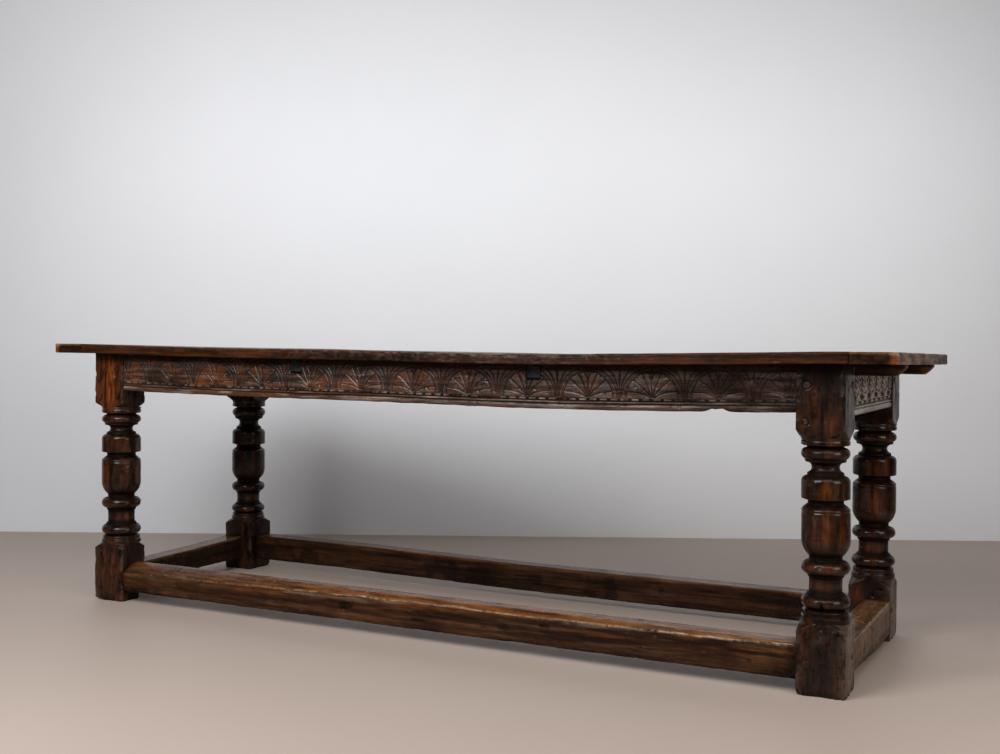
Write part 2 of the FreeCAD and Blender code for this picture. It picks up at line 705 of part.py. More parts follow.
def edge_section(part):
    # A plank's section, rounded where it is an outer edge of the top.
    near, far = plank_spans[part]
    low = underside
    high = "table_height"
    if part == "front":
        inside = f"{near} + edge_round"
        return [
            (far, low), (far, high),
            arc((inside, high), (near, f"{high} - edge_round"), (inside, None)),
            arc((near, f"{low} + edge_round"), (inside, low), (inside, None)),
        ]
    if part == "back":
        inside = f"{far} - edge_round"
        return [
            (near, high), (near, low),
            arc((inside, low), (far, f"{low} + edge_round"), (inside, None)),
            arc((far, f"{high} - edge_round"), (inside, high), (inside, None)),
        ]
    return [(near, low), (far, low), (far, high), (near, high)]


def top_plank(part):
    label = f"top_plank_{part}"
    body = new_body(label)
    board = sketch_on(body, label + "_section", "YZ_Plane")
    outline(board, edge_section(part))
    pad(body, board, f"2 * {seam_x}")
    tongues = sketch_on(body, label + "_tongues", "YZ_Plane")
    rectangle(tongues, *tongue_spans[part], tongue_low, tongue_high)
    pad(body, tongues, f"2 * ({seam_x} + tongue_length)")
    holes = sketch_on(body, label + "_peg_holes", "XY_Plane")
    for x, y in top_peg_places[part]:
        round_hole(holes, x, y, "top_peg_diameter + 2 * fit_gap")
    for line in cleat_peg_lines[part]:
        for side in ("-1", "1"):
            round_hole(holes, f"{side} * {cleat_peg_x}", line, "cleat_peg_diameter + 2 * fit_gap")
    cut(body, holes)
    if part != "middle":
        nail_holes = sketch_on(body, label + "_nail_holes", "XY_Plane", underside)
        side = "-1" if part == "front" else "1"
        for place in nail_places:
            for end in ("-1", "1"):
                round_hole(nail_holes, f"{end} * {place}", f"{side} * {end_bearer_middle}",
                           "nail_diameter + 2 * fit_gap")
        cut(body, nail_holes, "nail_bite + fit_gap", into=True)
    return body


planks = [top_plank(part) for part in plank_spans]


def right_cleat():
    body = new_body("right_cleat")
    outer = "(table_length / 2)"
    inside = f"{outer} - edge_round"
    board = sketch_on(body, "cleat_section", "XZ_Plane")
    outline(board, [
        (seam_x, "table_height"),
        (seam_x, underside),
        arc((inside, underside), (outer, f"{underside} + edge_round"), (inside, None)),
        arc((outer, "table_height - edge_round"), (inside, "table_height"), (inside, None)),
    ])
    pad(body, board, "table_width")
    groove = sketch_on(body, "cleat_groove", "XZ_Plane")
    rectangle(
        groove, f"{seam_x} - cut_overrun", f"{seam_x} + tongue_length + fit_gap",
        f"{tongue_low} - fit_gap", f"{tongue_high} + fit_gap")
    before = body.Shape.Volume
    slot = body.newObject("PartDesign::Pocket", "cleat_groove_cut")
    slot.Profile = groove
    slot.SideType = "Symmetric"
    bind(slot, "Length", "table_width - 2 * (tongue_stop - fit_gap)")
    doc.recompute()
    if not body.Shape.Volume < before:
        raise RuntimeError("the cleat has no groove")
    holes = sketch_on(body, "cleat_peg_holes", "XY_Plane")
    for lines in cleat_peg_lines.values():
        for line in lines:
            round_hole(holes, cleat_peg_x, line, "cleat_peg_diameter + 2 * fit_gap")
    cut(body, holes)
    return body


cleat_right = right_cleat()
cleat_left = mirrored(cleat_right, "left_cleat", across_length)

# Pegs, plugs and nails, each kind a group of separate pieces
corners = [(end, side) for end in (-1, 1) for side in (-1, 1)]


def driven_peg(name, along, end, side, inset, level_text, diameter, depth):
    # A peg driven into one leg: along Y from its front or back face, or along X from its end face.
    length = f"{depth} + joint_peg_proud"
    if along == "Y":
        x = f"{end} * ({inner_x} + {inset})"
        y = f"{side_face} - {depth}" if side > 0 else f"-{side_face} - joint_peg_proud"
    else:
        x = f"{end_face} - {depth}" if end > 0 else f"-{end_face} - joint_peg_proud"
        y = f"{side} * ({inner_y} + {inset})"
    return peg(name, along, (x, y, level_text), diameter, length)


frieze_pegs = []
stretcher_pegs = []
leg_plugs = []
for index, (end, side) in enumerate(corners):
    for along, stretcher_level in (("Y", "stretcher_peg_height"), ("X", "end_stretcher_peg_height")):
        frieze_pegs.append(driven_peg(
            f"frieze_peg_{along}{index}", along, end, side, "joint_peg_inset", frieze_peg_level,
            "joint_peg_diameter", "frieze_peg_depth"))
        stretcher_pegs.append(driven_peg(
            f"stretcher_peg_{along}{index}", along, end, side, "joint_peg_inset", stretcher_level,
            "joint_peg_diameter", "stretcher_peg_depth"))
    leg_plugs.append(driven_peg(
        f"leg_plug_{index}", "Y", end, side, "plug_inset", plug_level, "plug_diameter", "plug_depth"))

cleat_pegs = []
for part, lines in cleat_peg_lines.items():
    for place, line in enumerate(lines):
        for end in (-1, 1):
            name = f"cleat_peg_{part}_{place}_{'left' if end < 0 else 'right'}"
            cleat_pegs.append(peg(
                name, "Z", (f"{end} * {cleat_peg_x}", line, underside), "cleat_peg_diameter",
                "top_thickness"))

top_pegs = []
for part, places in top_peg_places.items():
    for place, (x, y) in enumerate(places):
        top_pegs.append(peg(
            f"top_peg_{part}_{place}", "Z", (x, y, f"{underside} - top_peg_bite"), "top_peg_diameter",
            "top_peg_bite + top_thickness"))


def bearer_nail(name, x, y):
    # A forged nail: a round shank and a low cone for its head, under the bearer.
    low = f"({underside} - end_bearer_depth)"
    shank = peg(name + "_shank", "Z", (x, y, low), "nail_diameter", "end_bearer_depth + nail_bite")
    head_cone = doc.addObject("Part::Cone", name + "_head")
    bind(head_cone, "Radius1", "nail_diameter / 2")
    bind(head_cone, "Radius2", "nail_head_diameter / 2")
    bind(head_cone, "Height", "nail_head_height")
    for axis, text in zip("xyz", (x, y, f"{low} - nail_head_height")):
        bind(head_cone, "Placement.Base." + axis, text)
    nail = doc.addObject("Part::Fuse", name)
    nail.Base = shank
    nail.Tool = head_cone
    return nail


bearer_nails = []
for index, (end, side) in enumerate(corners):
    for place, nail_x in enumerate(nail_places):
        bearer_nails.append(bearer_nail(
            f"bearer_nail_{index}_{place}", f"{end} * {nail_x}", f"{side} * {end_bearer_middle}"))

pieces = [
    leg_front_right, leg_front_left, leg_back_right, leg_back_left,
    frieze_front, frieze_back, frieze_right, frieze_left,
    stretcher_front, stretcher_back, stretcher_right, stretcher_left,
    *cross_bearers,
    bearer_front_right, bearer_front_left, bearer_back_right, bearer_back_left,
    *planks, cleat_right, cleat_left,
    group("frieze_pegs", frieze_pegs),
    group("stretcher_pegs", stretcher_pegs),
    group("leg_plugs", leg_plugs),
    group("cleat_pegs", cleat_pegs),
    group("top_pegs", top_pegs),
    group("bearer_nails", bearer_nails),
]

doc.recompute()
failed = [item.Name for item in doc.Objects if "Invalid" in item.State or "Error" in item.State]
broken = [item.Label for item in pieces if item.Shape.isNull() or not item.Shape.isValid()]
if failed or broken:
    raise RuntimeError("failed: %s, broken: %s" % (failed, broken))

os.makedirs("parts", exist_ok=True)
for item in pieces:
    item.Shape.exportStep("parts/%s.step" % item.Label)
    print(item.Label, len(item.Shape.Solids), round(item.Shape.Volume))
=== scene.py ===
import math
import bpy
import numpy as np
from mathutils import Matrix, Vector
from mathutils.bvhtree import BVHTree


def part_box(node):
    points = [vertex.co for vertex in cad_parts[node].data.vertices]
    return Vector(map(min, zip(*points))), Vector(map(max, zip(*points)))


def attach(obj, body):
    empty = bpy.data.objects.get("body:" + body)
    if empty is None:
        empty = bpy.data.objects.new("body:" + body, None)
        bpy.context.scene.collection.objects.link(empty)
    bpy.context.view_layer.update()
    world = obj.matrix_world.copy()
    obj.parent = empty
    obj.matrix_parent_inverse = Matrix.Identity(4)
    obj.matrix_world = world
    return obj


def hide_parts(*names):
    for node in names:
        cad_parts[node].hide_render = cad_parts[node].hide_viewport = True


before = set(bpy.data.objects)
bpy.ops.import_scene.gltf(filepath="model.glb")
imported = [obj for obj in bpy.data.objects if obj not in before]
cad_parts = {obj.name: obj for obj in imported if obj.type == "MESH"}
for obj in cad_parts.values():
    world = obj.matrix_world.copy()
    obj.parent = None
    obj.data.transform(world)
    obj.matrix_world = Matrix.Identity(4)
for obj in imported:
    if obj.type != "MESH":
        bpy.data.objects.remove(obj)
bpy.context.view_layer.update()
scene = bpy.context.scene
scene.view_settings.view_transform = "Standard"
fine = 1.0
print("frame loaded")


def scatter(cells, seed):
    # a fixed random number from -1 to 1 for every whole-number cell
    a = cells.astype(np.int64).astype(np.uint64)
    n = (a[..., 0] * np.uint64(73856093)) ^ (a[..., 1] * np.uint64(19349663))
    n = n ^ (a[..., 2] * np.uint64(83492791))
    n = (n + np.uint64(seed * 7919 + 13)) & np.uint64(0xffffffff)
    for shift, factor in ((15, 2246822519), (13, 3266489917)):
        n = ((n ^ (n >> np.uint64(shift))) * np.uint64(factor)) & np.uint64(0xffffffff)
    return ((n ^ (n >> np.uint64(16))) & np.uint64(0xffff)).astype(float) / 32767.5 - 1


def cloud(points, cell, seed, octaves=2):
    # smooth noise from about -1 to 1, cell is its size in metres
    total = 0
    for octave in range(octaves):
        p = points / np.asarray(cell) * 2 ** octave + 31.7 * octave
        base = np.floor(p)
        f = p - base
        f = f * f * (3 - 2 * f)
        value = 0
        for corner in np.ndindex(2, 2, 2):
            weight = np.prod(np.where(np.array(corner), f, 1 - f), axis=-1)
            value = value + weight * scatter(base + np.array(corner), seed + octave)
        total = total + value * 0.5 ** octave
    return total


def ramp(value, low, high):
    t = np.clip((value - low) / (high - low), 0, 1)
    return t * t * (3 - 2 * t)


def bump(value, middle, width):
    return np.exp(-((value - middle) / width) ** 2)


def softMin(a, b, width):
    h = np.clip(0.5 + 0.5 * (b - a) / width, 0, 1)
    return b * (1 - h) + a * h - width * h * (1 - h)


def patchy(points, cell, seed, base=0.0, gain=1.0, octaves=3):
    # noise lifted by base and cut off below 0 and above 1
    return np.clip(base + gain * cloud(points, cell, seed, octaves), 0, 1)


def blotchy(points, cell, seed, low, high, octaves=3):
    # noise as blots, 0 under low and 1 over high
    return ramp(cloud(points, cell, seed, octaves), low, high)


def follow(value, plan):
    # a plan is a row of (place, amount) pairs, read between its places
    return np.interp(value, *zip(*plan))


def cornersOf(name):
    return [np.array(corner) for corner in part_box(name)]


def gridFaces(rows, columns):
    r = np.arange(rows - 1)[:, None] * columns
    c = np.arange(columns)[None, :]
    d = (c + 1) % columns
    square = [r + c, r + d, r + columns + d, r + columns + c]
    return np.stack(square, axis=-1).reshape(-1, 4).tolist()


def loft(rings, paint, inset=0.0015):
    # skin over closed rings of points, flat at both ends
    ends = []
    for ring in (rings[0], rings[-1]):
        centre = ring.mean(axis=0)
        reach = np.linalg.norm(ring - centre, axis=1, keepdims=True)
        ends.append(ring + (centre - ring) * np.minimum(inset / np.maximum(reach, 1e-6), 0.5))
    rings = np.concatenate([ends[0][None], rings, ends[1][None]])
    rows, columns = rings.shape[:2]
    faces = gridFaces(rows, columns)
    faces.append(list(range(columns))[::-1])
    faces.append(list(range((rows - 1) * columns, rows * columns)))
    paint = {layer: np.pad(values, ((1, 1), (0, 0)), mode="edge").ravel()
             for layer, values in paint.items()}
    return rings.reshape(-1, 3), faces, paint


def joinParts(parts):
    # several skins as one mesh
    points, faces, paint, start = [], [], {}, 0
    for partPoints, partFaces, partPaint in parts:
        points.append(partPoints)
        faces += [[index + start for index in face] for face in partFaces]
        for layer, values in partPaint.items():
            paint.setdefault(layer, []).append(values)
        start += len(partPoints)
    paint = {layer: np.concatenate(values) for layer, values in paint.items()}
    return np.concatenate(points), faces, paint


def addPiece(name, skin, material, nodes):
    points, faces, paint = skin
    mesh = bpy.data.meshes.new(name)
    mesh.from_pydata(points.tolist(), [], faces)
    for layer in ("wear", "dirtAndShade", "warm", "polish"):
        values = np.clip(paint.get(layer, np.zeros(len(points))), 0, 1).astype(np.float32)
        mesh.attributes.new(layer, "FLOAT", "POINT").data.foreach_set("value", values)
    mesh.calc_loop_triangles()
    corners = np.zeros(len(mesh.loop_triangles) * 3, dtype=np.int32)
    mesh.loop_triangles.foreach_get("vertices", corners)
    a, b, c = np.moveaxis(points[corners.reshape(-1, 3)], 1, 0)
    if np.einsum("ij,ij->", a, np.cross(b, c)) < 0:
        mesh.flip_normals()
    mesh.shade_smooth()
    mesh.materials.append(material)
    piece = bpy.data.objects.new(name, mesh)
    scene.collection.objects.link(piece)
    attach(piece, "root")
    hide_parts(*nodes)
    return piece


def solidBoxes(nodeName):
    # corners of every separate solid in a CAD node
    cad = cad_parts[nodeName]
    points = np.array([cad.matrix_world @ v.co for v in cad.data.vertices])
    keys, index = np.unique(np.round(points, 5), axis=0, return_inverse=True)
    index = index.ravel()
    owner = list(range(len(keys)))

    def root(i):
        while owner[i] != i:
            owner[i] = owner[owner[i]]
            i = owner[i]
        return i

    for polygon in cad.data.polygons:
        start = root(index[polygon.vertices[0]])
        for vertex in polygon.vertices[1:]:
            owner[root(index[vertex])] = start
    groups = {}
    for i, key in enumerate(keys):
        groups.setdefault(root(i), []).append(key)
    return [(np.min(group, axis=0), np.max(group, axis=0)) for group in groups.values()]


# old oak: streaks along the grain, then patina, wear, grime, painted shade and painted highlights
# where each piece is painted
def makeNode(tree, kind, values=None, **props):
    item = tree.nodes.new("ShaderNode" + kind)
    for key, value in props.items():
        setattr(item, key, value)
    for socket, value in (values or {}).items():
        if isinstance(value, bpy.types.NodeSocket):
            tree.links.new(value, item.inputs[socket])
        else:
            item.inputs[socket].default_value = value
    return item


def mixColour(tree, factor, first, second):
    return makeNode(tree, "Mix", {0: factor, 6: first, 7: second}, data_type="RGBA").outputs[2]


def math2(tree, operation, first, second, clamp=False):
    values = {0: first, 1: second}
    return makeNode(tree, "Math", values, operation=operation, use_clamp=clamp).outputs[0]


def plus(tree, first, second, clamp=False):
    return math2(tree, "ADD", first, second, clamp)


def times(tree, first, second, clamp=False):
    return math2(tree, "MULTIPLY", first, second, clamp)


def span(tree, value, low, high, toLow, toHigh):
    return makeNode(tree, "MapRange", {"Value": value, "From Min": low, "From Max": high,
                                       "To Min": toLow, "To Max": toHigh}).outputs[0]


def noise(tree, vector, scale, detail=4.0, distortion=0.0):
    return makeNode(tree, "TexNoise", {"Vector": vector, "Scale": scale, "Detail": detail,
                                       "Roughness": 0.6, "Distortion": distortion}).outputs[0]


def bumpMap(tree, strength, distance, height, below=None, invert=False):
    values = {"Strength": strength, "Distance": distance, "Height": height}
    if below is not None:
        values["Normal"] = below
    return makeNode(tree, "Bump", values, invert=invert).outputs[0]


def rgba(colour):
    return (*colour, 1)


def newMaterial(name):
    material = bpy.data.materials.new(name)
    material.use_nodes = True
    tree = material.node_tree
    tree.nodes.clear()
    return material, tree, makeNode(tree, "TexCoord").outputs["Object"]


def showSurface(tree, surface):
    tree.links.new(surface, makeNode(tree, "OutputMaterial").inputs["Surface"])


# how fine each kind of figure in the wood is, and its share in the wood's tone
figureScale = {"fibre": 330.0, "pore": 660.0, "patch": 9.0, "speck": 150.0, "crumb": 420.0}
toneShare = {"streak": 0.42, "band": 0.34, "fibre": 0.24}
bandPerStreak = 3.4


def oak(name, look):
    material, tree, place = newMaterial(name)
    stretch = [1.0, 1.0, 1.0]
    stretch["XYZ".index(look["grain"])] = look["stretch"]
    along = makeNode(tree, "Mapping", {"Vector": place, "Scale": stretch}).outputs[0]
    streak = noise(tree, along, look["streakScale"], 4.0, 0.7)
    band = noise(tree, along, look["streakScale"] * bandPerStreak, 4.0, 0.3)
    fibre = noise(tree, along, figureScale["fibre"], 5.0)
    pore = span(tree, noise(tree, along, figureScale["pore"], 2.0), 0.56, 0.67, 0.0, 1.0)
    patch = noise(tree, place, figureScale["patch"])
    speck = noise(tree, place, figureScale["speck"], 3.0)
    crumb = noise(tree, place, figureScale["crumb"], 3.0)

    tone = plus(tree, times(tree, streak, toneShare["streak"]),
                times(tree, band, toneShare["band"]))
    tone = plus(tree, tone, times(tree, fibre, toneShare["fibre"]))
    wood = makeNode(tree, "ValToRGB", {"Fac": tone})
    stops = wood.color_ramp.elements
    stops[0].position, stops[1].position = 0.4, 0.61
    stops[0].color, stops[1].color = rgba(look["dark"]), rgba(look["light"])
    stops.new(0.5).color = rgba(look["middle"])

    wear, dirtAndShade, warm, polish = (makeNode(tree, "Attribute", attribute_name=layer).outputs["Fac"]
                                for layer in ("wear", "dirtAndShade", "warm", "polish"))
    grimeAndShade = rgba(look["grimeAndShade"])
    warmHere = times(tree, warm, span(tree, band, 0.38, 0.56, 0.2, 1.0), clamp=True)
    colour = mixColour(tree, warmHere, wood.outputs[0], rgba(look["warm"]))
    crumbs = span(tree, crumb, 0.44, 0.58, 1.0 - look["speckle"], 1.0)
    # wear also carries painted glints and sheen
    wearAndSheenHere = times(tree, wear, span(tree, fibre, 0.34, 0.6, 0.35, 1.0))
    wearAndSheenHere = times(tree, wearAndSheenHere, crumbs, clamp=True)
    colour = mixColour(tree, wearAndSheenHere, colour, rgba(look["worn"]))
    colour = mixColour(tree, times(tree, pore, look["pores"]), colour, grimeAndShade)
    stains = times(tree, span(tree, patch, 0.46, 0.66, 0.0, 1.0), look["stain"])
    colour = mixColour(tree, stains, colour, grimeAndShade)
    # dirt and painted shade both darken towards the grime colour
    dirtAndShadeHere = times(tree, dirtAndShade, span(tree, speck, 0.3, 0.6, 1.0, 0.7), clamp=True)
    colour = mixColour(tree, dirtAndShadeHere, colour, grimeAndShade)

    rough = span(tree, patch, 0.35, 0.65, look["roughness"] - 0.05, look["roughness"] + 0.08)
    rough = plus(tree, rough, times(tree, dirtAndShade, 0.18))
    rough = math2(tree, "SUBTRACT", rough, times(tree, polish, 0.17))
    rough = plus(tree, rough, span(tree, speck, 0.3, 0.7, -0.03, 0.06), clamp=True)
    fibreBump = bumpMap(tree, look["grainBump"], 0.0006, fibre)
    poreBump = bumpMap(tree, look["dents"], 0.0005, pore, fibreBump, invert=True)
    dentBump = bumpMap(tree, look["dents"] * 0.8, 0.0013, speck, poreBump)
    shader = makeNode(tree, "BsdfPrincipled", {
        "Base Color": colour, "Roughness": rough, "IOR": 1.48, "Normal": dentBump,
        "Specular IOR Level": span(tree, dirtAndShade, 0.0, 0.8, look["shine"], 0.06),
        "Coat Weight": span(tree, dirtAndShade, 0.0, 0.7, look["wax"], 0.0),
        "Coat Roughness": look["waxRough"]})
    showSurface(tree, shader.outputs[0])
    return material


oakLook = {
    "grain": "X", "stretch": 0.055, "streakScale": 30.0, "dark": (0.0055, 0.0025, 0.0015),
    "middle": (0.02, 0.0074, 0.0033), "light": (0.05, 0.019, 0.0078),
    "warm": (0.13, 0.036, 0.0085), "worn": (0.22, 0.14, 0.09),
    "grimeAndShade": (0.0026, 0.0016, 0.0012), "pores": 0.5, "stain": 0.4, "speckle": 0.3,
    "roughness": 0.3, "shine": 0.16, "wax": 0.06, "waxRough": 0.14, "grainBump": 0.3, "dents": 0.3,
}
looks = {
    "top": {"middle": (0.022, 0.0074, 0.0032), "light": (0.05, 0.0185, 0.0088),
            "worn": (0.24, 0.175, 0.135), "speckle": 0.8, "shine": 0.08, "wax": 0.02},
    "cleat": {"grain": "Y", "middle": (0.026, 0.0095, 0.0045), "light": (0.06, 0.023, 0.0115),
              "warm": (0.19, 0.05, 0.011), "worn": (0.36, 0.235, 0.16), "speckle": 0.5,
              "roughness": 0.4, "shine": 0.06, "wax": 0.0},
    "leg": {"grain": "Z", "stretch": 0.16, "streakScale": 36.0, "dark": (0.0045, 0.0021, 0.0012),
            "middle": (0.0115, 0.0045, 0.0021), "light": (0.025, 0.0095, 0.004),
            "warm": (0.2, 0.048, 0.0085), "worn": (0.22, 0.15, 0.105), "pores": 0.15,
            "stain": 0.15, "roughness": 0.33, "wax": 0.17, "waxRough": 0.1, "grainBump": 0.08,
            "dents": 0.08},
    "frieze": {"dark": (0.013, 0.0068, 0.0047), "middle": (0.038, 0.0182, 0.0118),
               "light": (0.078, 0.04, 0.0275), "warm": (0.16, 0.047, 0.013),
               "worn": (0.34, 0.265, 0.22), "stain": 0.2, "shine": 0.36, "roughness": 0.29},
    # end friezes pale grey: painted sheen of light reflected at a grazing angle
    "endFriezeSheen": {"grain": "Y", "dark": (0.1, 0.08, 0.066), "middle": (0.22, 0.178, 0.147),
                  "light": (0.36, 0.3, 0.255), "stain": 0.1, "pores": 0.2, "roughness": 0.3,
                  "shine": 0.4, "wax": 0.1},
    "stretcher": {"dark": (0.013, 0.005, 0.0021), "middle": (0.04, 0.0148, 0.006),
                  "light": (0.084, 0.0345, 0.0145), "warm": (0.2, 0.066, 0.015),
                  "worn": (0.6, 0.42, 0.28), "roughness": 0.4, "speckle": 0.5, "shine": 0.1,
                  "wax": 0.03, "grainBump": 0.12, "dents": 0.15},
    # end stretchers lighter than the front one: painted light from the right
    "litEndStretcher": {"grain": "Y", "dark": (0.04, 0.0175, 0.008), "middle": (0.09, 0.041, 0.0185),
                     "light": (0.15, 0.076, 0.038), "warm": (0.21, 0.09, 0.028),
                     "worn": (0.36, 0.24, 0.15), "shine": 0.1, "wax": 0.02},
    "bearer": {"dark": (0.01, 0.0045, 0.003), "middle": (0.026, 0.0115, 0.006),
               "light": (0.048, 0.022, 0.0115), "roughness": 0.55, "wax": 0.0},
    "crossBearer": {"grain": "Y", "dark": (0.014, 0.015, 0.019), "middle": (0.026, 0.0275, 0.034),
                    "light": (0.05, 0.052, 0.06), "roughness": 0.5, "wax": 0.0},
    "peg": {"grain": "Z", "streakScale": 60.0, "dark": (0.007, 0.0032, 0.002),
            "middle": (0.02, 0.0088, 0.005), "light": (0.048, 0.023, 0.0135), "roughness": 0.42,
            "wax": 0.0},
}
woods = {wood: oak("oak_" + wood, {**oakLook, **change}) for wood, change in looks.items()}
print("oak ready")

# long boards hang a little between the legs, and the top leans at its ends
age = {"sag": 0.008, "reach": 1.1, "dip": (0.35, 0.38, 0.0045), "tilt": 0.006, "frontEdge": -0.4,
       "depth": 0.81, "rightEnd": (0.8, 1.23), "leftEnd": (-0.75, -1.15), "leftShare": 1.7}


def hangAt(x):
    return np.clip(1 - (np.abs(x) / age["reach"]) ** 4, 0, None)


def sagAt(x):
    middle, width, deep = age["dip"]
    return -age["sag"] * hangAt(x) ** 1.5 - deep * bump(x, middle, width)


def tiltAt(x, y):
    # the top hangs towards the back, most of all at its left end
    back = np.clip((y - age["frontEdge"]) / age["depth"], 0, 1)
    ends = ramp(x, *age["rightEnd"]) + age["leftShare"] * ramp(x, *age["leftEnd"])
    return -age["tilt"] * back * (ends + hangAt(x))


# turned legs
legShape = {
    "columns": int(40 * fine), "rowStep": 0.00135 / fine, "arris": 0.0022,
    "roundLimits": (0.0008, 0.012), "floorRound": (0.008, 0.022), "blockFrom": (1.004, 1.012),
    "soft": 0.001, "waver": 0.0002, "planed": 0.0004, "dents": 0.0018, "chips": 0.006,
    "footWear": (0.005, 0.012), "darkGash": 0.0032, "pegHollow": (0.0115, 0.0095, 0.0018),
    "sunkReach": 0.011, "cove": (0.508, 0.011, 0.65), "feelFrom": 0.2, "feelGap": 0.0004,
}
legs = {
    # swell: how much stouter the turning is, lean: shift along the table by height,
    # rise: how much higher a ring sits, slim: share left behind the axis by height,
    # marks: gashes in front, dark where deep (offset, height, width, tallness, depth),
    # glow: bare wood, or patina where the amount is under zero, in the same order; the film high on
    # the front right block is painted shade under the top
    "front_right_leg": {
        "lean": [(0.07, 0.0018), (0.36, 0.0004), (0.67, -0.0035)],
        "marks": [(-0.003, 0.152, 0.008, 0.009, 0.012), (-0.008, 0.131, 0.012, 0.009, 0.003),
                  (0.002, 0.196, 0.005, 0.022, 0.006), (0.03, 0.15, 0.014, 0.004, 0.0032),
                  (-0.04, 0.152, 0.012, 0.003, 0.0032), (-0.003, 0.283, 0.008, 0.007, 0.002),
                  (0.044, 0.143, 0.011, 0.007, 0.005)],
        "glow": [(-0.014, 0.645, 0.016, 0.04, 0.5), (0.022, 0.615, 0.016, 0.03, 0.42),
                 (-0.043, 0.612, 0.012, 0.03, 0.3), (0.0045, 0.63, 0.005, 0.06, -0.9),
                 # the film at 0.715 is painted shade under the top
                 (0, 0.715, 0.08, 0.04, -0.8), (0.042, 0.66, 0.01, 0.05, -0.6),
                 (0.014, 0.37, 0.02, 0.04, 0.36), (0.034, 0.36, 0.007, 0.05, -0.5),
                 (0.015, 0.456, 0.02, 0.018, 0.55), (0.026, 0.285, 0.018, 0.01, 0.5),
                 (-0.03, 0.287, 0.014, 0.01, 0.3), (0.0, 0.245, 0.035, 0.016, 0.2),
                 (0.0, 0.665, 0.09, 0.06, -0.42), (0.0, 0.175, 0.07, 0.02, -0.75)]},
    "front_left_leg": {
        "lean": [(0.07, 0.0035), (0.36, -0.001), (0.67, -0.0035)], "swell": 1.05,
        "slim": [(0.0, 0.3), (0.115, 0.76), (1.0, 0.76)],
        "rise": [(0.115, 0.0), (0.142, 0.013), (0.162, 0.009), (0.188, 0.004), (0.206, 0.003),
                 (0.283, 0.008), (0.309, 0.008), (0.419, 0.006), (0.489, 0.008), (0.54, 0.003),
                 (0.567, 0.004), (0.594, 0.0)],
        "marks": [(-0.058, 0.0, 0.02, 0.014, 0.014), (-0.029, 0.61, 0.005, 0.012, 0.0035),
                  (0.028, 0.676, 0.0055, 0.008, 0.005), (-0.03, 0.128, 0.005, 0.006, 0.004),
                  (0.045, 0.136, 0.012, 0.01, 0.006)],
        "glow": [(0.0, 0.66, 0.085, 0.085, 1.0), (-0.012, 0.66, 0.004, 0.09, -0.7),
                 (0.05, 0.68, 0.005, 0.06, -0.5), (-0.035, 0.456, 0.016, 0.02, 0.6),
                 (0.03, 0.462, 0.02, 0.02, 0.25), (-0.022, 0.37, 0.022, 0.045, 0.35),
                 (0.012, 0.36, 0.006, 0.05, -0.7), (0.0, 0.08, 0.06, 0.06, 0.22),
                 (0.022, 0.085, 0.014, 0.05, 0.35), (-0.03, 0.08, 0.008, 0.05, -0.3),
                 (0.045, 0.01, 0.014, 0.014, 0.9)]},
    "back_left_leg": {
        "lean": [(0.07, -0.003), (0.36, -0.0038), (0.67, -0.0038)], "swell": 1.03,
        "rise": [(0.12, 0.0), (0.142, 0.011), (0.162, 0.006), (0.206, -0.003), (0.283, -0.004),
                 (0.309, -0.004), (0.419, -0.01), (0.489, -0.01), (0.54, -0.002), (0.594, 0.0)],
        "marks": [(0.03, 0.12, 0.016, 0.03, 0.004), (0.046, 0.05, 0.01, 0.03, 0.004)],
        "glow": [(0.01, 0.36, 0.03, 0.05, 0.1)]},
    "back_right_leg": {
        "lean": [(0.07, -0.002), (0.36, 0.0), (0.67, 0.0004)], "swell": 1.045,
        "marks": [(0.008, 0.12, 0.004, 0.006, 0.004), (0.03, 0.138, 0.012, 0.006, 0.005)],
        "glow": [(0.024, 0.456, 0.022, 0.02, 0.5), (0.012, 0.37, 0.024, 0.045, 0.45),
                 (0.0, 0.245, 0.03, 0.02, 0.35), (-0.034, 0.115, 0.016, 0.025, 0.5)]},
}


def squareRadius(angle, half, rounding):
    c, s = np.abs(np.cos(angle)), np.abs(np.sin(angle))
    k = half - rounding
    b = k * (c + s)
    corner = b + np.sqrt(np.maximum(b * b - 2 * k * k + rounding ** 2, 0))
    return np.where((corner * c > k) & (corner * s > k), corner, half / np.maximum(c, s))


def turnedProfile(nodeName, levels):
    # radius of the turning at every level, felt for along the leg's outer corner
    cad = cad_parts[nodeName]
    tree = BVHTree.FromPolygons([cad.matrix_world @ v.co for v in cad.data.vertices],
                                [tuple(p.vertices) for p in cad.data.polygons])
    low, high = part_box(nodeName)
    axis = (Vector(low) + Vector(high)) / 2
    outward = Vector((math.copysign(1, axis.x), math.copysign(1, axis.y), 0)).normalized()
    radii = []
    gap = legShape["feelGap"]
    for z in np.clip(levels, low[2] + gap, high[2] - gap):
        start = Vector((axis.x, axis.y, z)) + outward * legShape["feelFrom"]
        hit = tree.ray_cast(start, -outward)[0]
        radii.append((Vector((hit.x, hit.y, 0)) - Vector((axis.x, axis.y, 0))).length)
    return np.array(radii)


def runningMax(values, reach):
    padded = np.pad(values, reach, mode="edge")
    return np.max([padded[i:i + len(values)] for i in range(2 * reach + 1)], axis=0)


